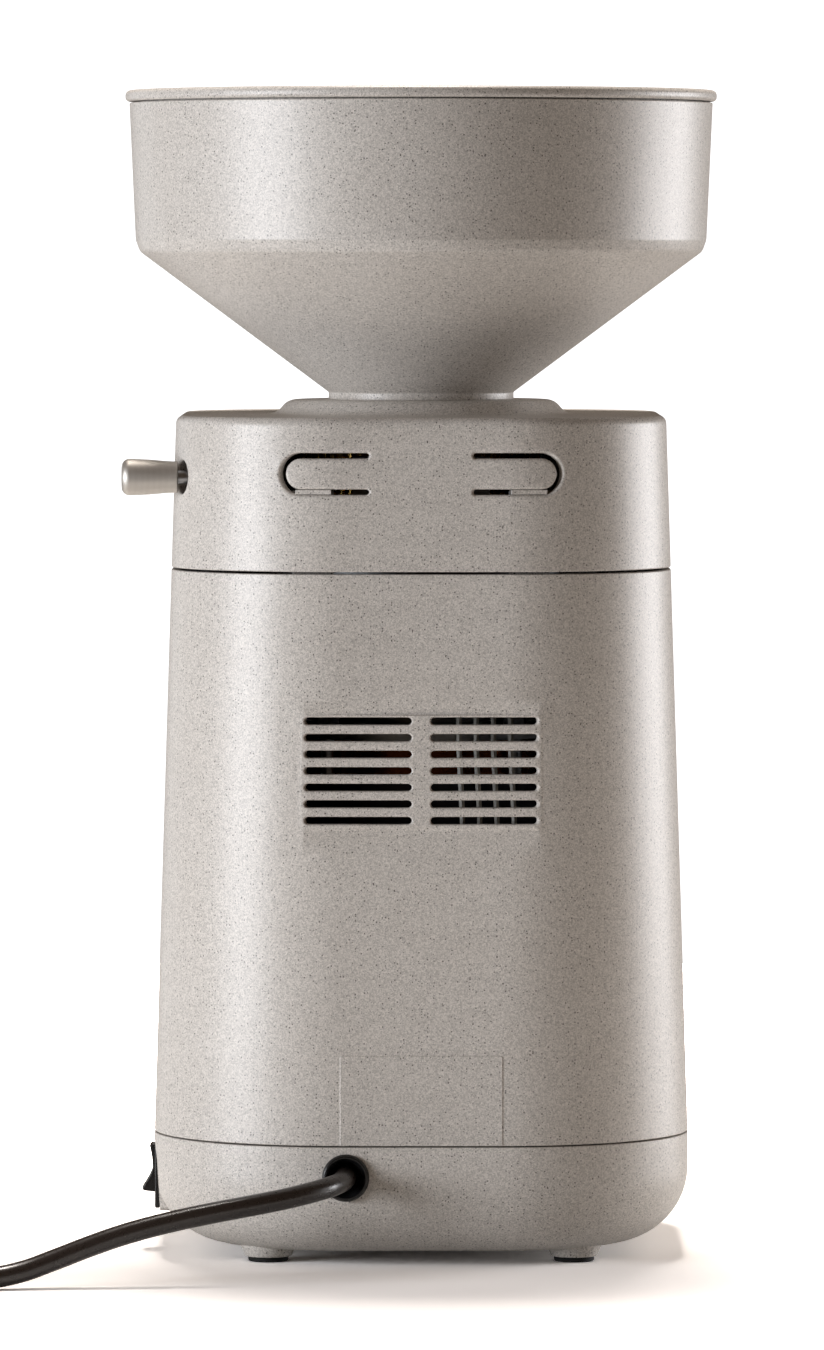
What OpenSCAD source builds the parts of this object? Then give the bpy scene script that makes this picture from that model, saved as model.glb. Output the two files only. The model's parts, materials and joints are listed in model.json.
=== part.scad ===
// Burr coffee grinder, millimetres. +Z up, -Y is the front, +Y the back with the mains lead.
// The origin is on the resting plane, on the axis of the hopper, burrs and motor.

/* [Housing] */
// Half width of the housing at the top edge
body_half_w = 72; // [60:0.5:85]
// Corner radius in plan at the top edge
corner_r = 48; // [30:1:60]
// Distance of the front corner centres ahead of the grinding axis
front_c = 42; // [35:1:60]
// Outward growth of the sides per millimetre of height
draft = 0.0314; // [0:0.001:0.05]
// Wall thickness of the mouldings
wall = 2.6; // [2:0.1:4]
// Height of the flat top face
body_top_z = 247; // [220:1:280]
// Height of the split between the body and the upper housing
upper_seam_z = 202.1; // [180:0.5:215]
// Height of the split between the base and the body
lower_seam_z = 36.4; // [25:0.5:50]
// Height of the underside
underside_z = 4; // [3:0.5:8]
// Radius of the rounded lower edge
base_round = 22; // [10:1:26]
// Width of the open upper seam
seam_gap = 0.7; // [0.3:0.1:1.2]
// Width of the fine lower seam
lower_gap = 0.4; // [0.3:0.1:1.2]

/* [Hopper] */
// Radius at the rim
hopper_rim_r = 86.3; // [70:0.5:100]
// Radius where the wall turns into the cone
hopper_break_r = 84.5; // [68:0.5:98]
// Radius of the collar below the cone
neck_r = 27.4; // [20:0.5:35]
// Height of the rim
hopper_top_z = 338.9; // [300:0.5:380]
// Height of the turn into the cone
hopper_break_z = 298.4; // [280:0.5:340]
// Height of the lower end of the cone
cone_end_z = 253.4; // [250:0.5:260]
// Hopper wall
hopper_wall = 2.4; // [1.6:0.1:3]
// Lid radius
lid_r = 87.5; // [75:0.5:100]
// Height of the lid's top face
lid_top_z = 342.7; // [310:0.1:390]

/* [Burrs and adjuster] */
// Outer radius of both burrs
burr_r = 27; // [25:0.5:28]
// Teeth on the adjusting ring
ring_teeth = 60; // [48:1:72]
// Pitch radius of the adjusting ring
ring_pitch_r = 34.6; // [33:0.1:36]
// Pitch radius of the worm
worm_pitch_r = 4.4; // [4:0.1:5]
// Height of the worm axis
worm_z = 229.1; // [224:0.1:232]
// Radius of the knob at its outer end
knob_r = 5.45; // [4:0.05:8]

/* [Vents and tabs] */
// Slots in each vent group
vent_count = 7; // [3:1:9]
// Distance between vent slots
vent_pitch = 4.79; // [4:0.01:6]
// Height of one vent slot
vent_h = 2.14; // [1.5:0.01:3]
// Height of the top vent slot
vent_top_z = 159.4; // [120:0.1:180]
// Height of the middle of the release tabs
tab_z = 230.75; // [215:0.05:240]
// Width of the slot round a release tab
tab_slot = 1.55; // [1:0.05:2.5]

/* [Outlet and fork] */
// Height of the fork's resting face
fork_z = 117; // [100:1:130]
// Gap between the fork prongs
fork_gap = 60; // [54:1:70]
// Travel of the trigger button
trigger_travel = 3.6; // [2:0.1:3.6]

/* [Cord] */
// Cord radius
cord_r = 3.05; // [2.5:0.05:4]
// Middle radius of the stowed coil
coil_r = 33.5; // [30:0.5:40]

/* [Hidden] */
$fn = 96;

eps = 0.01;
corner_x = body_half_w - corner_r;
body_bottom_z = lower_seam_z + lower_gap / 2;
body_split_z = upper_seam_z - seam_gap / 2;
housing_bottom_z = upper_seam_z + seam_gap / 2;
base_top_z = lower_seam_z - lower_gap / 2;
post_split_z = 41;
base_r = corner_r + draft * (body_top_z - lower_seam_z);
top_round = 2.5;
boss_z = 251.3;
boss_r = 40;
boss_foot_r = 49;
housing_hole_r = 22;
worm_y = ring_pitch_r + worm_pitch_r;
worm_tip_r = 5.1;
worm_root_r = 3.5;
worm_len = 19;
ring_tip_r = ring_pitch_r + 0.7;
ring_root_r = ring_pitch_r - 1;
ring_face_z = 222;
ring_top_z = 236.2;
sleeve_r = 31;
sleeve_bore_r = 20;
chamber_bore_r = 31.05;
chamber_r = 41;
chamber_floor_z = 176;
chamber_top_z = 214;
plate_z = 168;
plate_t = 3;
shaft_r = 5;
bearing_r = 15;
stator_r = 43;
bolt_at = 39;
screw_ring_r = 45;
foot_x = 44.7;
foot_back_y = 47;
foot_front_y = -65;
screw_x = 50;
screw_back_y = 38;
screw_front_y = -56;
vent_panel_x = 35.1;
vent_panel_z0 = 127.6;
vent_panel_z1 = 161.6;
vent_panel_rise = 0.1;
label_x = 23.6;
label_top_z = 62.75;
label_rise = 0.22;
vent_x0 = 2.75;
vent_x1 = 33.85;
tab_root_x = 15.85;
tab_end_x = 34.9;
tab_mid_r = 5.25;
tab_root_gap = 0.02;
tab_half_h = tab_mid_r - tab_slot / 2;
switch_y = 12;
switch_z = 23.05;
switch_face_x = 77.2;
gland_x = 21.9;
gland_z = 27.4;
chute_y0 = -50.3;
chute_y1 = -124;
coil_x = 178;
coil_y = 112;
coil_h = 12.2;
coil_half_w = 6.1;
tie_gap = 0.35;
plug_x = 223;
plug_y = 57;
plug_z = 9;
plate_tab_y = 27;
hook_x = 31.3;
hook_y = 64.4;

// Radius of the plan corners at height z
function side_r(z) = corner_r + draft * (body_top_z - z);
// Y of the back and of the front face at height z
function back_y(z) = corner_x + side_r(z);
function front_y(z) = -front_c - side_r(z);
// Points of an arc, for profiles
function arc(cx, cz, r, a0, a1, n) = [for (i = [0 : n]) [cx + r * cos(a0 + (a1 - a0) * i / n), cz + r * sin(a0 + (a1 - a0) * i / n)]];

// A rounded rectangular body from one edge profile (x from the corner centre, y as height)
module rounded_body(z0, z1) {
    for (c = [[corner_x, corner_x, 0], [-corner_x, corner_x, 90], [-corner_x, -front_c, 180], [corner_x, -front_c, 270]])
        translate([c[0], c[1], 0])
            rotate([0, 0, c[2]])
                rotate_extrude(angle = 90)
                    children();
    for (c = [[corner_x, -front_c, 0, corner_x + front_c], [-corner_x, corner_x, 180, corner_x + front_c]])
        translate([c[0], c[1], 0])
            rotate([0, 0, c[2]])
                rotate([90, 0, 180])
                    mirror([1, 0, 0])
                        linear_extrude(c[3])
                            children();
    for (c = [[corner_x, corner_x, 90], [-corner_x, -front_c, 270]])
        translate([c[0], c[1], 0])
            rotate([0, 0, c[2]])
                rotate([90, 0, 180])
                    mirror([1, 0, 0])
                        linear_extrude(2 * corner_x)
                            children();
    translate([-corner_x, -front_c, z0])
        cube([2 * corner_x, corner_x + front_c, z1 - z0]);
}

// Drafted solid between two heights, inset from the outer face
module drafted(z0, z1, inset) {
    rounded_body(z0, z1)
        polygon([[0, z0], [side_r(z0) - inset, z0], [side_r(z1) - inset, z1], [0, z1]]);
}

// Edge profile of the base with its rounded lower edge
module base_profile(inset, z1) {
    r = base_round - inset;
    zc = underside_z + base_round;
    polygon(concat([[0, z1], [0, zc - r]], arc(base_r - base_round, zc, r, -90, 0, 12), [[base_r - inset, z1]]));
}

// Edge profile of the upper housing with its rounded top edge
module top_profile(inset, z0, z1, r) {
    polygon(concat([[0, z1], [0, z0], [side_r(z0) - inset, z0]], arc(side_r(z1) - inset - r, z1 - r, r, 0, 90, 6)));
}

// A stadium along X, centred on z, cut through the back
module stadium_y(x0, x1, z, h, y0, y1) {
    translate([0, y1, z])
        rotate([90, 0, 0])
            linear_extrude(y1 - y0) {
                translate([x0 + h / 2, -h / 2])
                    square([x1 - x0 - h, h]);
                translate([x0 + h / 2, 0])
                    circle(h / 2);
                translate([x1 - h / 2, 0])
                    circle(h / 2);
            }
}

// A pan-head screw pointing down, its seat at the origin
module pan_screw(r, len) {
    translate([0, 0, -len])
        cylinder(r = r, h = len + eps);
    difference() {
        cylinder(r1 = 2 * r, r2 = 1.8 * r, h = 1.2 * r);
        translate([-0.25 * r, -1.2 * r, 0.7 * r])
            cube([0.5 * r, 2.4 * r, r]);
        translate([-1.2 * r, -0.25 * r, 0.7 * r])
            cube([2.4 * r, 0.5 * r, r]);
    }
}

module at_feet() {
    for (x = [-foot_x, foot_x], y = [foot_back_y, foot_front_y])
        translate([x, y, 0])
            children();
}

module at_base_screws() {
    for (x = [-screw_x, screw_x], y = [screw_back_y, screw_front_y])
        translate([x, y, 0])
            children();
}

module base_shell() {
    color([0.72, 0.70, 0.67])
    difference() {
        union() {
            difference() {
                rounded_body(underside_z, base_top_z)
                    base_profile(0, base_top_z);
                rounded_body(underside_z + wall, base_top_z + 1)
                    base_profile(wall, base_top_z + 1);
            }
            at_feet()
                translate([0, 0, 1.5])
                    cylinder(r1 = 6.8, r2 = 8.1, h = underside_z);
            at_base_screws()
                translate([0, 0, underside_z + 1])
                    cylinder(r = 5.5, h = post_split_z - underside_z - 1);
            // Lip that enters the body
            difference() {
                union() {
                    drafted(base_top_z - 3, base_top_z + 1, wall - 0.5);
                    drafted(base_top_z, base_top_z + 4, wall + 0.15);
                }
                drafted(base_top_z - 4, base_top_z + 5, wall + 1.6);
                rounded_body(base_top_z, base_top_z + 2)
                    polygon([[base_r - wall - 0.15, base_top_z], [base_r + 9, base_top_z], [base_r + 9, base_top_z + 2],
                        [base_r - wall - 0.15, base_top_z + 2]]);
            }
            // Flat seat of the power switch
            difference() {
                translate([60, switch_y - 10, 10.5])
                    cube([switch_face_x - 60, 20, base_top_z - 10.5]);
                translate([50, switch_y - 7.5, 9])
                    cube([switch_face_x - wall - 50, 15, base_top_z]);
            }
            // Shelf under the catch tray
            tray_shelf();
        }
        at_feet()
            cylinder(r = 6, h = 2.4);
        at_feet()
            cylinder(r = 2.5, h = 12);
        at_base_screws()
            translate([0, 0, -1])
                cylinder(r = 1.9, h = 60);
        at_base_screws()
            translate([0, 0, -1])
                cylinder(r = 4, h = 14);
        // Flat run of the flank behind the switch, and the pocket of its bezel
        translate([0, 60, 0])
            rotate([90, 0, 0])
                linear_extrude(60 - switch_y + 8)
                    polygon([[switch_face_x, 8], [switch_face_x, 26], [78.7, 34.4], [90, 34.4], [90, 8]]);
        translate([switch_face_x, switch_y - 7.8, switch_z - 10.85])
            cube([10, 15.6, 21.7]);
        // Switch opening
        translate([55, switch_y - 6.6, switch_z - 8.9])
            cube([40, 13.2, 17.8]);
        // Cord gland opening
        translate([gland_x, 50, gland_z])
            rotate([-90, 0, 0])
                cylinder(r = 5.6, h = 40);
        // Air intake slots in the underside
        for (i = [-3 : 3])
            translate([-20, 8 * i - 14, underside_z - 1])
                cube([40, 3, wall + 2]);
    }
}

module tray_shelf() {
    z1 = 10.5;
    difference() {
        translate([0, 0, underside_z])
            linear_extrude(z1 - underside_z) {
                translate([-50, -134])
                    square([100, 62]);
                translate([-32, -152])
                    square([64, 30]);
                for (s = [-1, 1])
                    translate([32 * s, -134])
                        circle(18);
            }
        translate([-47, -94, underside_z - 1])
            cube([94, 30, 1 + eps]);
        translate([-60, -78, underside_z + wall])
            cube([120, 20, 20]);
    }
}

module foot_pads() {
    color([0.08, 0.08, 0.08])
    at_feet() {
        cylinder(r = 5.9, h = 2.3);
        cylinder(r = 2.45, h = 9);
    }
}

module base_screws() {
    color([0.6, 0.6, 0.62])
    at_base_screws()
        translate([0, 0, 13])
            mirror([0, 0, 1])
                pan_screw(1.6, 32);
}

module tab_slots(side) {
    y0 = 60;
    y1 = 85;
    for (zz = [tab_z - tab_mid_r, tab_z + tab_mid_r])
        mirror([side < 0 ? 1 : 0, 0, 0])
            stadium_y(tab_root_x - tab_slot / 2, tab_end_x + tab_slot / 2, zz, tab_slot, y0, y1);
    mirror([side < 0 ? 1 : 0, 0, 0])
        translate([tab_end_x, y1, tab_z])
            rotate([90, 0, 0])
                linear_extrude(y1 - y0)
                    difference() {
                        circle(tab_mid_r + tab_slot / 2);
                        circle(tab_mid_r - tab_slot / 2);
                        translate([-20, -20])
                            square([20, 40]);
                    }
    // Room for the separate tab
    mirror([side < 0 ? 1 : 0, 0, 0])
        translate([tab_root_x - tab_root_gap, y0, tab_z - tab_mid_r])
            cube([tab_end_x - tab_root_x + tab_root_gap, y1 - y0, 2 * tab_mid_r]);
    mirror([side < 0 ? 1 : 0, 0, 0])
        translate([tab_end_x, y1, tab_z])
            rotate([90, 0, 0])
                cylinder(r = tab_mid_r, h = y1 - y0);
}

module upper_housing() {
    color([0.74, 0.72, 0.69])
    difference() {
        union() {
            difference() {
                rounded_body(housing_bottom_z, body_top_z)
                    top_profile(0, housing_bottom_z, body_top_z, top_round);
                rounded_body(housing_bottom_z - 1, body_top_z - wall)
                    top_profile(wall, housing_bottom_z - 1, body_top_z - wall, 1);
            }
            // Raised boss under the hopper
            rotate_extrude()
                polygon(concat([[housing_hole_r, body_top_z - 1], [housing_hole_r, boss_z]],
                    arc(boss_r, boss_z - 3, 3, 90, 45, 3), arc(boss_foot_r - 2, body_top_z + 3, 3, 225, 270, 3),
                    [[boss_foot_r, body_top_z], [boss_foot_r, body_top_z - 1]]));
            // Lip that enters the body
            difference() {
                union() {
                    drafted(housing_bottom_z - 5, housing_bottom_z + 1, wall + 0.15);
                    drafted(housing_bottom_z, housing_bottom_z + 3, wall - 0.5);
                }
                drafted(housing_bottom_z - 6, housing_bottom_z + 4, wall + 1.6);
            }
        }
        translate([0, 0, body_top_z - 10])
            cylinder(r = housing_hole_r, h = 30);
        tab_slots(1);
        tab_slots(-1);
        // Hole for the adjuster shaft in the rounded corner
        translate([50, worm_y, worm_z])
            rotate([0, 90, 0])
                cylinder(r = 4.85, h = 40);
    }
}

module release_tab(side) {
    intersection() {
        difference() {
            drafted(housing_bottom_z, body_top_z - 5, 0);
            drafted(housing_bottom_z - 1, body_top_z - 4, wall);
        }
        mirror([side < 0 ? 1 : 0, 0, 0])
            translate([0, 90, tab_z])
                rotate([90, 0, 0])
                    linear_extrude(40) {
                        translate([tab_root_x, -tab_half_h])
                            square([tab_end_x - tab_root_x, 2 * tab_half_h]);
                        translate([tab_end_x, 0])
                            circle(tab_half_h);
                    }
    }
}

module release_tab_left() {
    color([0.74, 0.72, 0.69])
        release_tab(1);
}

module release_tab_right() {
    color([0.74, 0.72, 0.69])
        release_tab(-1);
}

// A plate that stands out of the back wall and follows its curve
module back_panel(half_w, z0, z1, rise) {
    intersection() {
        difference() {
            drafted(z0, z1, -rise);
            drafted(z0 - 1, z1 + 1, 1);
        }
        translate([-half_w, corner_x, z0 - 1])
            cube([2 * half_w, 80, z1 - z0 + 2]);
    }
}

module body_shell() {
    color([0.73, 0.71, 0.68])
    difference() {
        union() {
            difference() {
                drafted(body_bottom_z, body_split_z, 0);
                drafted(body_bottom_z - 1, body_split_z + 1, wall);
            }
            // Screw posts
            intersection() {
                drafted(body_bottom_z, body_split_z, 1);
                for (x = [-1, 1], y = [screw_back_y, screw_front_y]) {
                    translate([x * screw_x, y, post_split_z + 0.1])
                        cylinder(r = 5, h = 22);
                    translate([x > 0 ? screw_x : -screw_x - 30, y - 1.2, post_split_z + 0.1])
                        cube([30, 2.4, 22]);
                }
            }
            // Ledges for the motor plate
            intersection() {
                drafted(body_bottom_z, body_split_z, 1);
                for (x = [-80, 60], y = [-plate_tab_y, plate_tab_y])
                    translate([x, y - 7, plate_z - 14])
                        cube([20, 14, 14]);
            }
            // Hooks that catch beside the release tabs
            for (s = [-1, 1]) {
                translate([s * hook_x - 6.2, hook_y, 180])
                    cube([12.4, 2.3, tab_z - tab_mid_r + 0.45 - 180]);
                translate([s * hook_x - 6.2, hook_y, 180])
                    cube([12.4, 7, 15]);
                intersection() {
                    drafted(220, 232, 0.15);
                    translate([s * hook_x - 5.2, hook_y, tab_z - tab_mid_r - tab_slot / 2 + 0.03])
                        cube([10.4, 12, tab_slot - 0.38]);
                }
            }
            // Raised vent panel and raised blank label panel
            back_panel(vent_panel_x, vent_panel_z0, vent_panel_z1, vent_panel_rise);
            back_panel(label_x, body_bottom_z, label_top_z, label_rise);
            // Flat pad behind the fork
            difference() {
                translate([-24, -95, 106])
                    cube([48, 6, 32]);
                drafted(100, 140, wall);
            }
        }
        // Vent slots
        for (i = [0 : vent_count - 1], s = [0, 1])
            mirror([s, 0, 0])
                stadium_y(vent_x0, vent_x1, vent_top_z - vent_pitch * i, vent_h, 60, 90);
        // Fork screw holes
        for (x = [-16, 16])
            translate([x, -80, 127])
                rotate([90, 0, 0])
                    cylinder(r = 1.7, h = 20);
        // Trigger bore
        translate([0, -80, 127])
            rotate([90, 0, 0])
                cylinder(r = 5.05, h = 20);
        // Outlet opening
        translate([-17.5, -100, 168])
            cube([35, 20, 27.5]);
        // Screw holes in the posts and ledges
        at_base_screws()
            translate([0, 0, post_split_z - 1])
                cylinder(r = 1.65, h = 16);
        for (x = [-64, 64], y = [-plate_tab_y, plate_tab_y])
            translate([x, y, plate_z - 11])
                cylinder(r = 1.65, h = 12);
    }
}

module motor_plate() {
    color([0.62, 0.63, 0.65])
    difference() {
        translate([0, 0, plate_z])
            linear_extrude(plate_t) {
                square([100, 110], center = true);
                for (y = [-plate_tab_y, plate_tab_y])
                    translate([0, y])
                        square([137, 13], center = true);
            }
        translate([0, 0, plate_z - 1])
            cylinder(r = 19.5, h = 5);
        for (x = [-64, 64], y = [-plate_tab_y, plate_tab_y])
            translate([x, y, plate_z - 1])
                cylinder(r = 1.9, h = 5);
        for (a = [0 : 90 : 270])
            rotate([0, 0, a])
                translate([screw_ring_r, 0, plate_z - 1])
                    cylinder(r = 2.05, h = 5);
    }
}

module plate_screws() {
    color([0.6, 0.6, 0.62])
    for (x = [-64, 64], y = [-plate_tab_y, plate_tab_y])
        translate([x, y, plate_z + plate_t])
            pan_screw(1.6, 12);
}

module stator_core() {
    color([0.35, 0.36, 0.38])
    difference() {
        translate([0, 0, 95])
            cylinder(r = stator_r, h = 45);
        translate([0, 0, 94])
            cylinder(r = 26, h = 47);
        for (a = [0 : 30 : 330])
            rotate([0, 0, a])
                translate([30, 0, 94])
                    cylinder(r = 2.6, h = 47);
        for (a = [45 : 90 : 315])
            rotate([0, 0, a])
                translate([bolt_at, 0, 94])
                    cylinder(r = 2.1, h = 47);
    }
}

module stator_windings() {
    color([0.72, 0.38, 0.16])
    for (z = [84.7, 140])
        translate([0, 0, z])
            difference() {
                cylinder(r = 36, h = 10.3);
                translate([0, 0, -1])
                    cylinder(r = 28, h = 13);
            }
}

module motor_bracket_lower() {
    color([0.70, 0.71, 0.73])
    difference() {
        translate([0, 0, 58])
            cylinder(r = stator_r, h = 12);
        translate([0, 0, 61])
            cylinder(r = bearing_r, h = 10);
        translate([0, 0, 57])
            cylinder(r = 7.5, h = 10);
        for (a = [0 : 60 : 300])
            rotate([0, 0, a])
                translate([27, 0, 57])
                    cylinder(r = 6.5, h = 14);
        for (a = [45 : 90 : 315])
            rotate([0, 0, a])
                translate([bolt_at, 0, 57])
                    cylinder(r = 2.1, h = 14);
    }
}

module motor_bracket_upper() {
    color([0.70, 0.71, 0.73])
    difference() {
        union() {
            translate([0, 0, 152])
                cylinder(r = stator_r, h = 4);
            translate([0, 0, 152])
                cylinder(r = 22, h = 16);
        }
        translate([0, 0, 151])
            cylinder(r = 19.6, h = 20);
        for (a = [0 : 60 : 300])
            rotate([0, 0, a])
                translate([32, 0, 151])
                    cylinder(r = 5, h = 6);
        for (a = [45 : 90 : 315])
            rotate([0, 0, a])
                translate([bolt_at, 0, 151])
                    cylinder(r = 2.1, h = 6);
    }
}

module motor_bolts() {
    color([0.6, 0.6, 0.62])
    for (a = [45 : 90 : 315])
        rotate([0, 0, a]) {
            translate([bolt_at, 0, 54])
                cylinder(r = 2, h = 105);
            translate([bolt_at, 0, 54.5])
                cylinder(r = 3.6, h = 3.5, $fn = 6);
            translate([bolt_at, 0, 156])
                cylinder(r = 3.6, h = 3, $fn = 6);
        }
}

module bearing(z0, h) {
    translate([0, 0, z0])
        difference() {
            cylinder(r = bearing_r, h = h);
            translate([0, 0, -1])
                cylinder(r = shaft_r + 0.03, h = h + 2);
            for (z = [-eps, h - 0.6])
                translate([0, 0, z])
                    difference() {
                        cylinder(r = 12.2, h = 0.6 + eps);
                        translate([0, 0, -1])
                            cylinder(r = 7.8, h = 3);
                    }
        }
}

module motor_bearings() {
    color([0.66, 0.67, 0.70]) {
        bearing(61, 9);
        bearing(163, 9);
    }
}

module motor_shaft() {
    color([0.66, 0.67, 0.70]) {
        translate([0, 0, 52])
            cylinder(r = shaft_r, h = 133);
        translate([0, 0, 184.9])
            cylinder(r = 3, h = 7);
    }
}

module rotor_core() {
    color([0.40, 0.41, 0.43])
    difference() {
        union() {
            translate([0, 0, 97])
                cylinder(r = 25.4, h = 41);
            translate([0, 0, 90])
                cylinder(r = 12, h = 55);
        }
        translate([0, 0, 80])
            cylinder(r = shaft_r, h = 80);
        for (a = [0 : 24 : 336])
            rotate([0, 0, a])
                translate([25.4, 0, 96])
                    cylinder(r = 0.7, h = 43, $fn = 12);
    }
}

module cooling_fan() {
    color([0.12, 0.12, 0.13])
    difference() {
        union() {
            translate([0, 0, 72])
                cylinder(r = 9, h = 9);
            translate([0, 0, 72])
                cylinder(r = 24, h = 1.8);
            for (a = [0 : 40 : 320])
                rotate([0, 0, a])
                    translate([8, -0.8, 72])
                        rotate([0, 0, 12])
                            cube([25, 1.6, 9]);
        }
        translate([0, 0, 70])
            cylinder(r = shaft_r, h = 20);
    }
}

module grind_chamber() {
    color([0.76, 0.77, 0.79])
    difference() {
        union() {
            translate([0, 0, 171])
                cylinder(r = chamber_r, h = chamber_top_z - 171);
            translate([0, 0, 160])
                cylinder(r = 19, h = 12);
            translate([0, 0, 171])
                cylinder(r = 50, h = 4);
            translate([-16, chute_y0, 173.5])
                cube([32, 20, 18.5]);
        }
        translate([0, 0, chamber_floor_z])
            cylinder(r = chamber_bore_r, h = 60);
        translate([0, 0, 150])
            cylinder(r = 7, h = 40);
        translate([0, 0, 159])
            cylinder(r = bearing_r, h = 13);
        for (a = [0 : 90 : 270])
            rotate([0, 0, a])
                translate([screw_ring_r, 0, 165])
                    cylinder(r = 2.1, h = 12);
        // Outlet passage
        translate([-12.5, -60, chamber_floor_z])
            cube([25, 38, 13]);
        // Bracket screw holes
        for (x = [-9, 9])
            translate([x, 36.5, chamber_top_z - 8])
                cylinder(r = 1.5, h = 9);
    }
}

module chamber_screws() {
    color([0.6, 0.6, 0.62])
    for (a = [0, 90, 180])
        rotate([0, 0, a])
            translate([screw_ring_r, 0, 175])
                pan_screw(1.9, 8);
}

module lower_burr_carrier() {
    color([0.74, 0.75, 0.77])
    difference() {
        union() {
            translate([0, 0, 177.8])
                cylinder(r = 28, h = 5.2);
            translate([0, 0, 176.3])
                cylinder(r = 10, h = 2);
            for (a = [20 : 120 : 260])
                rotate([0, 0, a])
                    translate([24, -2, 177.8])
                        cube([6.5, 4, 4]);
        }
        translate([0, 0, 170])
            cylinder(r = shaft_r, h = 20);
        for (a = [0, 120, 240])
            rotate([0, 0, a])
                translate([22, 0, 170])
                    cylinder(r = 1.25, h = 20);
    }
}

// A burr with radial cutting grooves; dir is the side the teeth face
module burr(z0, dir) {
    h = 6.6;
    difference() {
        translate([0, 0, z0])
            cylinder(r = burr_r, h = h);
        translate([0, 0, z0 - 1])
            cylinder(r = 14, h = h + 2);
        translate([0, 0, dir > 0 ? z0 + h - 2 : z0 - eps])
            cylinder(r1 = dir > 0 ? 14 : 18, r2 = dir > 0 ? 18 : 14, h = 2 + eps);
        for (a = [0 : 15 : 345])
            rotate([0, 0, a])
                translate([9, 6.5, dir > 0 ? z0 + h - 1 : z0 - 1])
                    rotate([0, 0, 8])
                        cube([22, 1.4, 2]);
        for (a = [0, 120, 240])
            rotate([0, 0, a])
                translate([22, 0, z0 - 1])
                    cylinder(r = 1.65, h = h + 2);
        for (a = [0, 120, 240])
            rotate([0, 0, a])
                translate([22, 0, dir > 0 ? z0 + h - 2.4 : z0 - 1])
                    cylinder(r = 3.1, h = 3.4);
    }
}

module lower_burr() {
    color([0.55, 0.56, 0.58])
        burr(183, 1);
}

module upper_burr() {
    color([0.55, 0.56, 0.58])
        burr(190, -1);
}

module burr_screw() {
    cylinder(r = 1.2, h = 8);
    difference() {
        translate([0, 0, 7.4])
            cylinder(r = 2.8, h = 1.8);
        translate([0, 0, 8.4])
            cylinder(r = 1.3, h = 2, $fn = 6);
    }
}

module lower_burr_screws() {
    color([0.3, 0.3, 0.32])
    for (a = [0, 120, 240])
        rotate([0, 0, a])
            translate([22, 0, 179.8])
                burr_screw();
}

module upper_burr_screws() {
    color([0.3, 0.3, 0.32])
    for (a = [0, 120, 240])
        rotate([0, 0, a])
            translate([22, 0, 199.8])
                mirror([0, 0, 1])
                    burr_screw();
}

module carrier_nut() {
    color([0.66, 0.67, 0.70])
    difference() {
        translate([0, 0, 185])
            cylinder(r = 6.5, h = 5, $fn = 6);
        translate([0, 0, 184])
            cylinder(r = 3, h = 8);
    }
}

module adjusting_ring() {
    color([0.80, 0.64, 0.34])
    difference() {
        union() {
            translate([0, 0, 196.6])
                cylinder(r = sleeve_r, h = ring_face_z - 196.5);
            translate([0, 0, ring_face_z])
                cylinder(r = ring_tip_r, h = ring_top_z - ring_face_z);
        }
        translate([0, 0, 190])
            cylinder(r = sleeve_bore_r, h = 60);
        for (i = [0 : ring_teeth - 1])
            rotate([0, 0, (i + 0.5) * 360 / ring_teeth])
                translate([0, ring_root_r, ring_face_z - 1])
                    linear_extrude(ring_top_z - ring_face_z + 2)
                        polygon([[-0.95, 0], [0.95, 0], [1.35, 3], [-1.35, 3]]);
        for (a = [0, 120, 240])
            rotate([0, 0, a])
                translate([22, 0, 190])
                    cylinder(r = 1.25, h = 14);
    }
}

module worm_bracket() {
    color([0.76, 0.77, 0.79])
    difference() {
        union() {
            translate([-20, 32.4, chamber_top_z])
                cube([40, 12.6, 4]);
            for (x = [-20, 14])
                translate([x, 32.4, chamber_top_z])
                    cube([6, 12.6, 21]);
        }
        translate([-30, worm_y, worm_z])
            rotate([0, 90, 0])
                cylinder(r = 3.05, h = 60);
        for (x = [-9, 9])
            translate([x, 36.5, chamber_top_z - 1])
                cylinder(r = 1.7, h = 8);
    }
}

module bracket_screws() {
    color([0.6, 0.6, 0.62])
    for (x = [-9, 9])
        translate([x, 36.5, chamber_top_z + 4])
            pan_screw(1.45, 9);
}

module worm_shaft() {
    color([0.72, 0.73, 0.75])
    translate([0, worm_y, worm_z])
        rotate([0, 90, 0]) {
            translate([0, 0, -21.5])
                cylinder(r = 3, h = 46);
            translate([0, 0, -13.6])
                cylinder(r = 4.4, h = 2);
            translate([0, 0, 11.6])
                cylinder(r = 4.4, h = 2);
            translate([0, 0, 24])
                cylinder(r = 2, h = 57);
            translate([0, 0, -worm_len / 2])
                linear_extrude(worm_len, twist = -360 * worm_len / worm_lead, slices = 90, $fn = 10)
                    worm_section();
        }
}

worm_lead = 2 * PI * ring_pitch_r / ring_teeth;

module worm_section() {
    phase = 360 * (worm_len / 2) / worm_lead;
    rotate(90 - phase)
        union() {
            circle(worm_root_r, $fn = 12);
            polygon([[0, 0], [worm_tip_r * cos(40), -worm_tip_r * sin(40)], [worm_tip_r * cos(15), -worm_tip_r * sin(15)],
                [worm_tip_r * cos(15), worm_tip_r * sin(15)], [worm_tip_r * cos(40), worm_tip_r * sin(40)]]);
        }
}

module adjuster_knob() {
    color([0.66, 0.64, 0.62])
    translate([72.3, worm_y, worm_z])
        rotate([0, 90, 0])
            difference() {
                rotate_extrude()
                    polygon(concat([[0, 0], [4.3, 0], [4.7, 0.4]], arc(knob_r - 2.2, 13.1, 2.2, 0, 80, 6), [[0, 15.3]]));
                translate([0, 0, -1])
                    cylinder(r = 3.4, h = 3);
                translate([0, 0, -1])
                    cylinder(r = 2, h = 9.7);
            }
}

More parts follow.
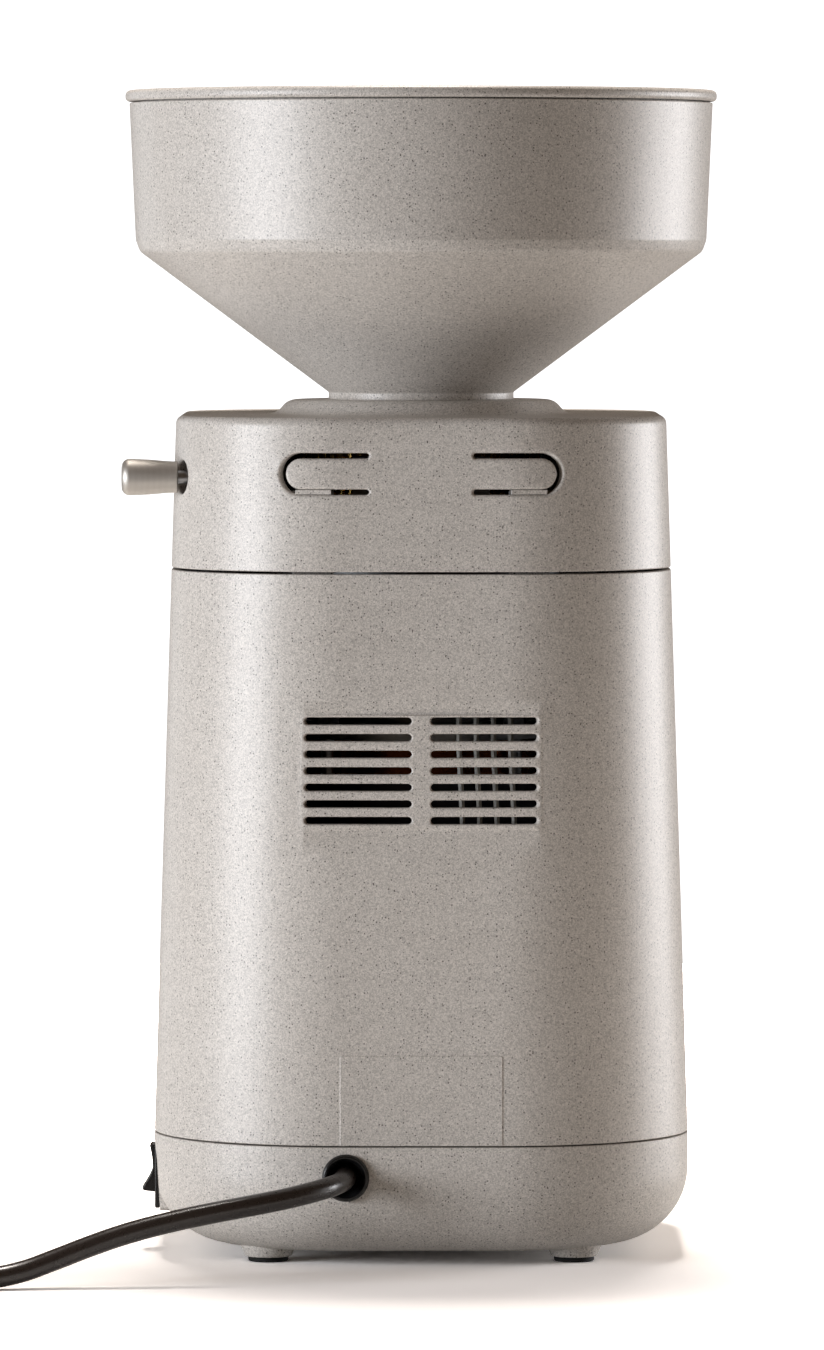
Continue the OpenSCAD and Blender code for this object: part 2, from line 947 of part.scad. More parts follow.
module hopper() {
    color([0.74, 0.72, 0.69])
    rotate_extrude()
        polygon([[neck_r, boss_z], [neck_r, cone_end_z], [hopper_break_r - 1.2, hopper_break_z - 3.4],
            [hopper_break_r, hopper_break_z], [hopper_rim_r, hopper_top_z], [hopper_rim_r - hopper_wall, hopper_top_z],
            [hopper_break_r - hopper_wall, hopper_break_z + 0.5], [hopper_break_r - hopper_wall - 1.3, hopper_break_z - 2.2],
            [17.2, cone_end_z - 1.8], [17.2, 229], [19.4, 229], [19.4, boss_z]]);
}

module finger_guard() {
    color([0.66, 0.67, 0.70]) {
        difference() {
            translate([0, 0, 246])
                cylinder(r = 17.15, h = 1.5);
            translate([0, 0, 245])
                cylinder(r = 15.6, h = 4);
        }
        for (a = [0, 90])
            rotate([0, 0, a])
                translate([-16.4, -0.75, 246])
                    cube([32.8, 1.5, 1.5]);
    }
}

module hopper_lid() {
    color([0.74, 0.72, 0.69])
    rotate_extrude()
        polygon(concat([[0, lid_top_z - 0.1], [0, lid_top_z - 2.8], [81, lid_top_z - 2.8], [81, 334], [83.2, 334],
            [83.2, 339.3], [lid_r - 1.2, 339.3]], arc(lid_r - 1.5, 340.8, 1.5, -80, 90, 8), [[lid_r - 3, lid_top_z - 0.25],
            [lid_r - 12, lid_top_z - 0.1]]));
}

module outlet_chute() {
    color([0.10, 0.10, 0.11])
    difference() {
        translate([-17, 0, 0])
            rotate([90, 0, 90])
                linear_extrude(34)
                    polygon([[chute_y0, 173.5], [chute_y0, 192], [-92, 194], [-112, 192], [-121, 186],
                        [chute_y1, 178], [-122, 148], [-100, 148], [-99, 166], [-90, 171]]);
        translate([-14.5, 0, 0])
            rotate([90, 0, 90])
                linear_extrude(29)
                    polygon([[chute_y0 + 1, 176], [chute_y0 + 1, 189.4], [-92, 191.4], [-111, 189.5], [-119, 184.5],
                        [-121.4, 178], [-119.5, 147], [-102.5, 147], [-101.5, 168.5], [-90, 173.8]]);
    }
}

module portafilter_fork() {
    color([0.70, 0.71, 0.73])
    difference() {
        union() {
            translate([0, 0, fork_z - 3])
                linear_extrude(3)
                    difference() {
                        union() {
                            translate([-40, -124])
                                square([80, 29]);
                            for (s = [-1, 1])
                                translate([s * (fork_gap / 2 + 5), -138])
                                    circle(5);
                            for (s = [-1, 1])
                                translate([s * (fork_gap / 2 + 5) - 5, -138])
                                    square([10, 20]);
                        }
                        translate([0, -136])
                            circle(fork_gap / 2);
                        translate([-fork_gap / 2, -150])
                            square([fork_gap, 14]);
                    }
            translate([-22, -98, fork_z - 3])
                cube([44, 3, 21]);
        }
        for (x = [-16, 16])
            translate([x, -80, 127])
                rotate([90, 0, 0])
                    cylinder(r = 1.8, h = 30);
        translate([0, -80, 127])
            rotate([90, 0, 0])
                cylinder(r = 5.4, h = 30);
    }
}

module fork_screws() {
    color([0.6, 0.6, 0.62])
    for (x = [-16, 16])
        translate([x, -98, 127])
            rotate([90, 0, 0])
                pan_screw(1.6, 11);
}

module trigger_button() {
    color([0.12, 0.12, 0.13]) {
        translate([0, -86, 127])
            rotate([90, 0, 0])
                cylinder(r = 5, h = 18);
        translate([0, -87, 127])
            rotate([90, 0, 0])
                cylinder(r = 7, h = 2.5);
    }
}

module microswitch() {
    color([0.10, 0.10, 0.11]) {
        translate([-10, -81.5, 121])
            cube([20, 16, 6.4]);
        translate([-2, -82, 122.5])
            cube([4, 1, 3.4]);
        for (x = [-8, 0, 8])
            translate([x - 1.2, -66, 123.5])
                cube([2.4, 7, 0.8]);
        // Bracket back to the wall
        for (s = [-1, 1])
            translate([s * 11 - 1.4, -90.2, 121])
                cube([2.8, 20, 6.4]);
    }
}

module switch_body() {
    color([0.08, 0.08, 0.09])
    difference() {
        union() {
            translate([switch_face_x, switch_y - 7.5, switch_z - 10.55])
                cube([1.5, 15, 21.1]);
            translate([60, switch_y - 6.5, switch_z - 8.8])
                cube([switch_face_x - 60 + 0.1, 13, 17.6]);
            for (z = [-5, 0, 5])
                translate([52, switch_y - 2.4, switch_z + z - 0.4])
                    cube([9, 4.8, 0.8]);
        }
        translate([66.5, switch_y - 5, switch_z - 8.25])
            cube([20, 10, 16.5]);
        translate([73, switch_y + 10, switch_z])
            rotate([90, 0, 0])
                cylinder(r = 1.25, h = 20);
    }
}

module switch_rocker() {
    tilt = -10;
    color([0.06, 0.06, 0.07])
    translate([73, switch_y, switch_z]) {
        rotate([90, tilt, 0])
            translate([0, 0, -4.7])
                linear_extrude(9.4)
                    polygon([[-3.5, -4], [0, -6.2], [5.2, -6.9], [8.1, -7.0], [8.5, -6.3], [7.0, -2.6], [6.6, 0],
                        [7.0, 2.6], [8.5, 6.3], [8.1, 7.0], [5.2, 6.9], [0, 6.2], [-3.5, 4]]);
        rotate([90, 0, 0])
            translate([0, 0, -6.2])
                cylinder(r = 1.2, h = 12.4);
    }
}

module circuit_board() {
    color([0.10, 0.30, 0.16]) {
        translate([-42, -10, 14])
            cube([54, 42, 1.6]);
        for (x = [-38, 8], y = [-6, 28])
            translate([x, y, underside_z + wall])
                cylinder(r = 2.5, h = 14 - underside_z - wall + eps);
    }
}

module capacitor() {
    color([0.75, 0.70, 0.60])
    translate([-30, -34, 22])
        rotate([0, 90, 0]) {
            cylinder(r = 12, h = 46);
            translate([0, 0, 46 - eps])
                cylinder(r = 5, h = 5);
        }
}

// Smooth tube through a list of points, one ring at each; up is any direction the path never takes
module tube(path, r, n, up) {
    m = len(path);
    function unit(v) = v / norm(v);
    dirs = [for (i = [0 : m - 1]) unit(path[min(i + 1, m - 1)] - path[max(i - 1, 0)])];
    sides = [for (d = dirs) unit(cross(d, up))];
    ups = [for (i = [0 : m - 1]) cross(sides[i], dirs[i])];
    pts = [for (i = [0 : m - 1], k = [0 : n - 1]) path[i] + r * (cos(360 * k / n) * sides[i] + sin(360 * k / n) * ups[i])];
    quads = [for (i = [0 : m - 2], k = [0 : n - 1]) [i * n + k, i * n + (k + 1) % n, (i + 1) * n + (k + 1) % n, (i + 1) * n + k]];
    polyhedron(points = pts, faces = concat([[for (k = [n - 1 : -1 : 0]) k]], quads,
        [[for (k = [0 : n - 1]) (m - 1) * n + k]]), convexity = 8);
}

module internal_wires() {
    color([0.85, 0.85, 0.82])
    for (w = [0 : 3])
        tube([[-14 - 6 * w, 50, 50], [-14 - 6 * w, 56, 80], [-12 - 5 * w, 60, 105], [-12 - 5 * w, 62, 130],
            [-11 - 5 * w, 60, 150], [-11 - 5 * w, 55, 160]], 0.9, 6, [1, 0, 0]);
}

module catch_tray() {
    color([0.13, 0.13, 0.14])
    difference() {
        translate([0, 0, 10.8])
            linear_extrude(11)
                tray_plan(0);
        translate([0, 0, 12.8])
            linear_extrude(20)
                tray_plan(2);
    }
}

module tray_plan(inset) {
    translate([-46 + inset, -134])
        square([92 - 2 * inset, 34 - inset]);
    translate([-30, -149 + inset])
        square([60, 40]);
    for (s = [-1, 1])
        translate([s * 30, -133])
            circle(16 - inset);
}

module cord_gland() {
    color([0.07, 0.07, 0.07])
    translate([gland_x, corner_x + base_r, gland_z])
        rotate([-90, 0, 0])
            rotate_extrude()
                polygon([[cord_r + 0.05, -11], [5.5, -11], [5.5, 0.3], [6.8, 0.3], [6.8, 1.3], [6.3, 1.9],
                    [5.5, 1.9], [4.9, 1.2], [4.3, -1.5], [cord_r + 0.05, -5.5]]);
}

// The lead leaves the gland, sags to the resting plane and runs to the coil
cord_path = [[gland_x, 68, gland_z], [gland_x, 76, gland_z], [22.5, 84, 27.2], [25, 92, 26.6], [30, 99, 25.6],
    [38, 105, 24.2], [48, 109, 22.6], [60, 112, 20.6], [72, 114, 18.2], [84, 116, 15.2], [95, 118, 11.6],
    [105, 120, 7.8], [114, 122, 4.8], [122, 124.5, 3.4], [130, 127.5, 3.1], [138, 131.5, 3.1], [146, 136.5, 3.1],
    [152, 140.3, 3.1]];

module power_cord() {
    color([0.07, 0.06, 0.06])
        tube(cord_path, cord_r, 10, [0, 0, 1]);
}

module cord_coil() {
    color([0.07, 0.06, 0.06])
    translate([coil_x, coil_y, 0])
        rotate_extrude()
            translate([coil_r, 0])
                polygon([[-coil_half_w, 2], [-coil_half_w + 2, 0], [coil_half_w - 2, 0], [coil_half_w, 2],
                    [coil_half_w, coil_h - 2], [coil_half_w - 2, coil_h], [-coil_half_w + 2, coil_h], [-coil_half_w, coil_h - 2]]);
}

module coil_tie() {
    color([0.05, 0.05, 0.05])
    translate([coil_x, coil_y - coil_r, 0])
        difference() {
            translate([-4, -coil_half_w - tie_gap - 1, 0])
                cube([8, 2 * (coil_half_w + tie_gap + 1), coil_h + 1.1]);
            translate([-5, -coil_half_w - tie_gap, -1])
                cube([10, 2 * (coil_half_w + tie_gap), coil_h + 1.05]);
        }
}

module plug_body() {
    color([0.07, 0.07, 0.07])
    translate([plug_x, plug_y, plug_z])
        rotate([90, 0, 0])
            rotate_extrude()
                polygon([[0, -36], [3.4, -36], [4.6, -16], [7.6, -12], [8.8, 2], [8.8, 12], [8.4, 12.6], [0, 12.6]]);
}

module plug_pins() {
    color([0.75, 0.76, 0.78])
    for (s = [-1, 1])
        translate([plug_x + s * 5, plug_y - 12.6, plug_z])
            rotate([90, 0, 0])
                cylinder(r = 2, h = 18);
}

base_shell();
foot_pads();
base_screws();
body_shell();
upper_housing();
motor_plate();
plate_screws();
stator_core();
stator_windings();
motor_bracket_lower();
motor_bracket_upper();
motor_bolts();
motor_bearings();
motor_shaft();
rotor_core();
cooling_fan();
grind_chamber();
chamber_screws();
lower_burr_carrier();
lower_burr();
lower_burr_screws();
carrier_nut();
adjusting_ring();
upper_burr();
upper_burr_screws();
worm_bracket();
bracket_screws();
worm_shaft();
adjuster_knob();
hopper();
finger_guard();
hopper_lid();
outlet_chute();
portafilter_fork();
fork_screws();
trigger_button();
microswitch();
release_tab_left();
release_tab_right();
switch_body();
switch_rocker();
circuit_board();
capacitor();
internal_wires();
catch_tray();
cord_gland();
power_cord();
cord_coil();
coil_tie();
plug_body();
plug_pins();
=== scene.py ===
"""Looks of the burr coffee grinder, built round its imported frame. Sizes in this file are
millimetres unless a name ends in _M.

+Z up, -Y the front with the spout, +Y the back with the mains lead, +X the side with the knob and the switch.
"""

import json
import math

import bmesh
import bpy
import numpy as np
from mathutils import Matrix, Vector
from mathutils.geometry import delaunay_2d_cdt


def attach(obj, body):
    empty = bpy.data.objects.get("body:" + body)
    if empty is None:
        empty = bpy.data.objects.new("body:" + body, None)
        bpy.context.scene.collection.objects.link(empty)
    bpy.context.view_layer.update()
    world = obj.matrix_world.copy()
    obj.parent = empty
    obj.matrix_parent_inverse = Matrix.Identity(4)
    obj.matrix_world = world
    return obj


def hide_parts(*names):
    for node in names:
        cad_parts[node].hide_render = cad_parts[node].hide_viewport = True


MM = 0.001
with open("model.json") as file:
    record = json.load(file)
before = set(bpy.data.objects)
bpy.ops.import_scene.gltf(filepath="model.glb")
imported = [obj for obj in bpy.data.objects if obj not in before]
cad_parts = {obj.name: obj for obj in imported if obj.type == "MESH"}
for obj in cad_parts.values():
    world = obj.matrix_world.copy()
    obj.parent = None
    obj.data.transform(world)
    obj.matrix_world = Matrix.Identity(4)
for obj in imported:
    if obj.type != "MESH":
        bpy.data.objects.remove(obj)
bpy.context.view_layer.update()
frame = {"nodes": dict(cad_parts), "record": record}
nodes = frame["nodes"]

# ---------------------------------------------------------------- sizes of the housing
CORNER_X = 24.0  # plan corner centres from the middle
FRONT_C = 42.0  # front corner centres ahead of the grinding axis
TOP_R = 48.0  # plan corner radius at the top edge
DRAFT = 0.0314  # growth of the sides per millimetre down
TOP_Z = 247.0
UPPER_SEAM = (201.75, 202.45)
LOWER_SEAM = (36.2, 36.6)
UNDERSIDE_Z = 4.0
BASE_ROUND = 22.0
BASE_R = TOP_R + DRAFT * (TOP_Z - 36.4)
WALL = 2.6
TOP_ROUND = 2.5
BOSS_Z = 251.3
NECK_HOLE_R = 22.0
TAB_Z = 230.75
TAB_MID_R = 5.25
TAB_SLOT = 1.55
TAB_ROOT_X = 15.85
TAB_END_X = 34.9
WORM_Y = 39.0
WORM_Z = 229.1
SWITCH_Y = 12.0
SWITCH_Z = 23.05
SWITCH_FACE_X = 77.2
GLAND_X = 21.9
GLAND_Z = 27.4
CORD_R = 3.05


def side_r(z):
    """Plan corner radius at height z."""
    return TOP_R + DRAFT * (TOP_Z - z)


# ---------------------------------------------------------------- camera
CAMERA_M = Vector((0.0027, 2.758, 0.2945))
AIM_M = Vector((0.0027, 0.0, 0.1694))
camera = bpy.data.cameras.new("camera")
camera.lens = 248.0
camera.sensor_width = 36.0
camera.sensor_fit = "AUTO"
camera.clip_start, camera.clip_end = 0.1, 50.0
camera.dof.use_dof = False
camera_object = bpy.data.objects.new("camera", camera)
bpy.context.collection.objects.link(camera_object)
camera_object.location = CAMERA_M
camera_object.rotation_euler = (AIM_M - CAMERA_M).to_track_quat("-Z", "Y").to_euler()
bpy.context.scene.camera = camera_object


# ---------------------------------------------------------------- colour and shader helpers
def srgb(hex_colour):
    """Linear RGBA of a screen colour such as "b8b0a6"."""
    channels = [int(hex_colour[i : i + 2], 16) / 255 for i in (0, 2, 4)]
    return tuple(c / 12.92 if c <= 0.04045 else ((c + 0.055) / 1.055) ** 2.4 for c in channels) + (1.0,)


def add_node(tree, kind, settings=None, inputs=None, links=None):
    """A node with its properties, constant inputs and incoming links set."""
    node = tree.nodes.new(kind)
    for name, value in (settings or {}).items():
        setattr(node, name, value)
    for name, value in (inputs or {}).items():
        node.inputs[name].default_value = value
    for name, socket in (links or {}).items():
        tree.links.new(socket, node.inputs[name])
    return node


def new_material(name):
    """An empty material with its output, object coordinates and a Principled shader."""
    material = bpy.data.materials.new(name)
    material.use_nodes = True
    tree = material.node_tree
    tree.nodes.clear()
    coords = add_node(tree, "ShaderNodeTexCoord").outputs["Object"]
    shader = add_node(tree, "ShaderNodeBsdfPrincipled")
    add_node(tree, "ShaderNodeOutputMaterial", links={"Surface": shader.outputs["BSDF"]})
    return material, tree, coords, shader


def ramp(tree, socket, stops):
    """A colour ramp through (position, linear colour) stops."""
    node = add_node(tree, "ShaderNodeValToRGB", links={"Fac": socket})
    elements = node.color_ramp.elements
    while len(elements) < len(stops):
        elements.new(0.5)
    for element, (position, colour) in zip(elements, stops):
        element.position = position
        element.color = colour
    return node.outputs["Color"]


def grey(value):
    return (value, value, value, 1.0)


def speckled_plastic():
    """Satin ABS with stone-effect flecks: a warm grey with fine dark and pale grains and a soft sheen."""
    material, tree, coords, shader = new_material("speckled_abs_satin")
    cloud = add_node(tree, "ShaderNodeTexNoise", {}, {"Scale": 45.0, "Detail": 3.0}, {"Vector": coords})
    base = add_node(
        tree, "ShaderNodeMix", {"data_type": "RGBA"}, {6: srgb(SHELL_A), 7: srgb(SHELL_B)},
        {0: cloud.outputs["Fac"]}
    ).outputs[2]
    # Fine mottle of the filler, grains near 0.3 mm
    fine = add_node(tree, "ShaderNodeTexVoronoi", {"feature": "F1"}, {"Scale": 3000.0}, {"Vector": coords})
    tone = ramp(tree, fine.outputs["Color"], [(0.0, grey(0.62)), (0.5, grey(0.98)), (1.0, grey(1.30))])
    mottled = add_node(
        tree, "ShaderNodeMix", {"data_type": "RGBA", "blend_type": "MULTIPLY"}, {0: 1.0}, {6: base, 7: tone}
    ).outputs[2]
    # Dark flecks 0.2 to 0.4 mm across, in about a third of the cells
    fleck = add_node(tree, "ShaderNodeTexVoronoi", {"feature": "F1"}, {"Scale": 1150.0}, {"Vector": coords})
    keep = add_node(tree, "ShaderNodeSeparateColor", links={"Color": fleck.outputs["Color"]})
    near = add_node(
        tree, "ShaderNodeMapRange", {}, {"From Min": 0.20, "From Max": 0.30, "To Min": 1.0, "To Max": 0.0},
        {"Value": fleck.outputs["Distance"]},
    )
    chosen = add_node(
        tree, "ShaderNodeMapRange", {}, {"From Min": 0.62, "From Max": 0.85, "To Min": 0.0, "To Max": 1.0},
        {"Value": keep.outputs["Red"]},
    )
    dark = add_node(
        tree, "ShaderNodeMath", {"operation": "MULTIPLY"}, {},
        {0: near.outputs["Result"], 1: chosen.outputs["Result"]}
    )
    darker = add_node(tree, "ShaderNodeMath", {"operation": "MULTIPLY"}, {1: 0.9},
        {0: dark.outputs["Value"]})
    flecked = add_node(
        tree, "ShaderNodeMix", {"data_type": "RGBA"}, {7: srgb("3c3833")},
        {0: darker.outputs["Value"], 6: mottled}
    ).outputs[2]
    tree.links.new(flecked, shader.inputs["Base Color"])
    rough = add_node(
        tree, "ShaderNodeMapRange", {}, {"To Min": 0.34, "To Max": 0.44},
        {"Value": fine.outputs["Distance"]}
    )
    tree.links.new(rough.outputs["Result"], shader.inputs["Roughness"])
    grain = add_node(tree, "ShaderNodeTexNoise", {}, {"Scale": 1600.0, "Detail": 2.0}, {"Vector": coords})
    bump = add_node(
        tree, "ShaderNodeBump", {}, {"Strength": 0.10, "Distance": 0.00008},
        {"Height": grain.outputs["Fac"]}
    )
    tree.links.new(bump.outputs["Normal"], shader.inputs["Normal"])
    shader.inputs["IOR"].default_value = 1.5
    return material


SHELL_A = "c5bfb8"
SHELL_B = "cbc6c0"


def varied(name, low, high, scale, rough, bump_scale=0.0, bump_mm=0.0, metallic=0.0, stretch=None,
    coat=0.0, specular=0.5):
    """A finish whose colour drifts between two tones, with its own gloss variation and surface grain."""
    material, tree, coords, shader = new_material(name)
    if stretch:
        coords = add_node(tree, "ShaderNodeMapping", {}, {"Scale": stretch},
            {"Vector": coords}).outputs["Vector"]
    noise = add_node(tree, "ShaderNodeTexNoise", {}, {"Scale": scale, "Detail": 4.0},
        {"Vector": coords}).outputs["Fac"]
    colour = add_node(
        tree, "ShaderNodeMix", {"data_type": "RGBA"}, {6: srgb(low), 7: srgb(high)}, {0: noise}
    ).outputs[2]
    tree.links.new(colour, shader.inputs["Base Color"])
    gloss = add_node(tree, "ShaderNodeMapRange", {}, {"To Min": rough[0], "To Max": rough[1]},
        {"Value": noise})
    tree.links.new(gloss.outputs["Result"], shader.inputs["Roughness"])
    if bump_mm:
        grain = add_node(tree, "ShaderNodeTexNoise", {}, {"Scale": bump_scale, "Detail": 3.0},
            {"Vector": coords})
        bump = add_node(
            tree, "ShaderNodeBump", {}, {"Strength": 0.5, "Distance": bump_mm * MM},
            {"Height": grain.outputs["Fac"]}
        )
        tree.links.new(bump.outputs["Normal"], shader.inputs["Normal"])
    shader.inputs["Metallic"].default_value = metallic
    if coat:
        shader.inputs["Coat Weight"].default_value = coat
    if not metallic:
        shader.inputs["Specular IOR Level"].default_value = specular
    return material


def turned_metal():
    """Turned steel with fine lathe rings round the X axis: the eye sees thin bright and dark bands."""
    material, tree, coords, shader = new_material("turned_steel_satin")
    bands = add_node(
        tree, "ShaderNodeTexWave", {"wave_type": "BANDS", "bands_direction": "X"},
        {"Scale": 900.0, "Distortion": 0.6, "Detail": 2.0, "Detail Scale": 1.0}, {"Vector": coords},
    ).outputs["Fac"]
    colour = add_node(
        tree, "ShaderNodeMix", {"data_type": "RGBA"}, {6: srgb("bdb8b1"), 7: srgb("dcd8d2")}, {0: bands}
    ).outputs[2]
    tree.links.new(colour, shader.inputs["Base Color"])
    gloss = add_node(tree, "ShaderNodeMapRange", {}, {"To Min": 0.46, "To Max": 0.58}, {"Value": bands})
    tree.links.new(gloss.outputs["Result"], shader.inputs["Roughness"])
    bump = add_node(tree, "ShaderNodeBump", {}, {"Strength": 0.35, "Distance": 0.00003}, {"Height": bands})
    tree.links.new(bump.outputs["Normal"], shader.inputs["Normal"])
    shader.inputs["Metallic"].default_value = 1.0
    return material


FINISH = {
    "speckled_shell": speckled_plastic(),
    # Matte nitrile rubber: a dull near-black that swallows highlights
    "rubber_black": varied("nitrile_rubber_matte", "141414", "1d1d1c", 300.0, (0.70, 0.82), 2500.0, 0.02,
        specular=0.3),
    # Zinc-plated steel: a cool grey with cloudy gloss
    "steel": varied("zinc_plated_steel", "9a9c9f", "b2b4b6", 400.0, (0.26, 0.42), 2000.0, 0.01,
        metallic=1.0),
    # Blackened laminated steel: a dark grey with fine sheet lines
    "dark_steel": varied("laminated_steel_dark", "3c3d40", "55565a", 500.0, (0.40, 0.55), 1500.0, 0.02,
        0.8, (1, 1, 14)),
    # Enamelled copper wire: a warm orange brown with gloss
    "copper": varied("enamelled_copper_gloss", "5c2c14", "8a4a20", 700.0, (0.22, 0.36), 900.0, 0.06, 0.9,
        (1, 1, 6)),
    # Die-cast aluminium: a pale satin metal with a fine cast grain
    "aluminium": varied("die_cast_aluminium_satin", "b0b2b4", "c4c5c6", 350.0, (0.34, 0.48), 1800.0, 0.02,
        metallic=1.0),
    # Ground tool steel: a mid grey with fine grinding marks
    "burr_steel": varied("ground_tool_steel", "85878a", "a0a2a4", 600.0, (0.22, 0.34), 2500.0, 0.015, 1.0,
        (1, 8, 1)),
    # Turned brass: a warm yellow with soft gloss
    "brass": varied("turned_brass_satin", "a98748", "c5a35f", 300.0, (0.22, 0.34), 1500.0, 0.01,
        metallic=1.0),
    "knob_metal": turned_metal(),
    # Matte moulded plastic: a soft black with a fine spark-eroded texture
    "black_plastic": varied("moulded_plastic_matte_black", "17171a", "202023", 200.0, (0.48, 0.60), 3500.0,
        0.03),
    # Semi-gloss moulded plastic: a black with clear soft highlights
    "gloss_black": varied("moulded_plastic_gloss_black", "0c0c0d", "141415", 250.0, (0.20, 0.30), 2500.0,
        0.006),
    # Coated circuit board: a deep green under clear lacquer
    "board_green": varied("solder_mask_green_gloss", "0f4023", "17552f", 500.0, (0.25, 0.35), 900.0, 0.03),
    # Film capacitor case: a glossy cream
    "cream_plastic": varied("film_case_cream_gloss", "c2b696", "d0c5a8", 120.0, (0.28, 0.38), 800.0, 0.01),
    # Silicone-covered wire: a soft white
    "wire_white": varied("silicone_wire_white", "b4b2aa", "c6c4bd", 300.0, (0.40, 0.50), 1200.0, 0.01),
    # Flexible PVC sheath: a brown-black with a long glossy highlight
    "cord_pvc": varied("pvc_sheath_semi_gloss", "1e1816", "2a221f", 900.0, (0.22, 0.36), 2600.0, 0.03,
        specular=0.9),
    # Nickel-plated brass: a bright silver with faint yellow warmth
    "brass_plated": varied("nickel_plated_brass", "c4c2ba", "d6d5d0", 250.0, (0.12, 0.22), 900.0, 0.004,
        metallic=1.0),
}


# ---------------------------------------------------------------- mesh helpers
def smooth_normals(mesh, limit_deg=38.0):
    """Area-weighted corner normals, split where faces meet at more than the limit."""
    faces = len(mesh.polygons)
    normals = np.empty(faces * 3)
    mesh.polygons.foreach_get("normal", normals)
    normals = normals.reshape(-1, 3)
    areas = np.empty(faces)
    mesh.polygons.foreach_get("area", areas)
    totals = np.empty(faces, dtype=np.int64)
    mesh.polygons.foreach_get("loop_total", totals)
    corner_vert = np.empty(len(mesh.loops), dtype=np.int64)
    mesh.loops.foreach_get("vertex_index", corner_vert)
    corner_face = np.repeat(np.arange(faces), totals)
    order = np.argsort(corner_vert, kind="stable")
    sorted_vert = corner_vert[order]
    starts = np.searchsorted(sorted_vert, np.arange(len(mesh.vertices)))
    counts = np.bincount(corner_vert, minlength=len(mesh.vertices))
    result = np.zeros((len(mesh.loops), 3))
    limit = math.cos(math.radians(limit_deg))
    for k in range(int(counts.max())):
        has = counts[corner_vert] > k
        corners = np.nonzero(has)[0]
        other = corner_face[order[starts[corner_vert[corners]] + k]]
        mine = corner_face[corners]
        dots = np.einsum("ij,ij->i", normals[mine], normals[other])
        weight = np.where(dots > limit, areas[other], 0.0)
        result[corners] += normals[other] * weight[:, None]
    lengths = np.linalg.norm(result, axis=1)
    flat = lengths < 1e-20
    result[flat] = normals[corner_face[flat]]
    lengths[flat] = 1.0
    result /= np.linalg.norm(result, axis=1)[:, None]
    mesh.polygons.foreach_set("use_smooth", np.ones(faces, dtype=bool))
    mesh.normals_split_custom_set([tuple(n) for n in result])


def piece(name, points, faces, body, slot, replaces=(), limit_deg=38.0, merge=0.0):
    """A finished mesh piece from millimetre points, with its body, slot and the CAD nodes it stands for."""
    mesh = bpy.data.meshes.new(name)
    mesh.from_pydata([(p[0] * MM, p[1] * MM, p[2] * MM) for p in points], [], [tuple(f) for f in faces])
    return dress(name, mesh, body, slot, replaces, limit_deg, merge)


def dress(name, mesh, body, slot, replaces=(), limit_deg=38.0, merge=0.0):
    """Merges doubles, turns the normals outward, and hands the mesh to its body."""
    work = bmesh.new()
    work.from_mesh(mesh)
    if merge:
        bmesh.ops.remove_doubles(work, verts=work.verts, dist=merge * MM)
    loose = [f for f in work.faces if f.calc_area() < 1e-14]
    if loose:
        bmesh.ops.dissolve_degenerate(work, dist=1e-7, edges=work.edges)
    bmesh.ops.recalc_face_normals(work, faces=work.faces)
    work.to_mesh(mesh)
    work.free()
    mesh.materials.clear()
    mesh.materials.append(FINISH[slot])
    mesh.validate()
    smooth_normals(mesh, limit_deg)
    made = bpy.data.objects.new(name, mesh)
    bpy.context.collection.objects.link(made)
    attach(made, body)
    if replaces:
        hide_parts(*replaces)
    return made


def arc(cx, cy, r, a0, a1, n):
    """Points of an arc, angles in degrees."""
    return [
        (
            cx + r * math.cos(math.radians(a0 + (a1 - a0) * i / n)),
            cy + r * math.sin(math.radians(a0 + (a1 - a0) * i / n)),
        )
        for i in range(n + 1)
    ]


def rounded(profile, radius, n=4):
    """The closed profile with each corner rounded by radius, or by its own third value."""
    out = []
    count = len(profile)
    for i, corner in enumerate(profile):
        r = corner[2] if len(corner) > 2 else radius
        p = np.array(corner[:2], float)
        a = np.array(profile[i - 1][:2], float) - p
        b = np.array(profile[(i + 1) % count][:2], float) - p
        la, lb = np.linalg.norm(a), np.linalg.norm(b)
        a, b = a / la, b / lb
        angle = math.acos(max(-1.0, min(1.0, float(a @ b))))
        if r <= 0 or angle > math.radians(176):
            out.append(tuple(p))
            continue
        cut = min(r / math.tan(angle / 2), 0.45 * la, 0.45 * lb)
        r = cut * math.tan(angle / 2)
        middle = p + (a + b) / np.linalg.norm(a + b) * (r / math.sin(angle / 2))
        start, end = p + a * cut - middle, p + b * cut - middle
        sweep = math.atan2(start[0] * end[1] - start[1] * end[0], float(start @ end))
        base = math.atan2(start[1], start[0])
        steps = max(1, round(n * abs(sweep) / (math.pi / 2)))
        out += [
            (middle[0] + r * math.cos(base + sweep * k / steps),
                middle[1] + r * math.sin(base + sweep * k / steps))
            for k in range(steps + 1)
        ]
    return out


def revolve(profile, count, place=lambda x, y, z: (x, y, z)):
    """Points and faces of a closed profile (r, h) turned round Z; points at r = 0 are shared poles."""
    points, faces, rings = [], [], []
    for r, h in profile:
        if r < 1e-6:
            rings.append([len(points)] * count)
            points.append(place(0, 0, h))
        else:
            rings.append(list(range(len(points), len(points) + count)))
            for k in range(count):
                a = 2 * math.pi * k / count
                points.append(place(r * math.cos(a), r * math.sin(a), h))
    for i in range(len(rings)):
        low, high = rings[i], rings[(i + 1) % len(rings)]
        for k in range(count):
            m = (k + 1) % count
            corners = [low[k], low[m], high[m], high[k]]
            corners = [c for j, c in enumerate(corners) if c != corners[j - 1]]
            if len(set(corners)) > 2:
                faces.append(corners)
    return points, faces


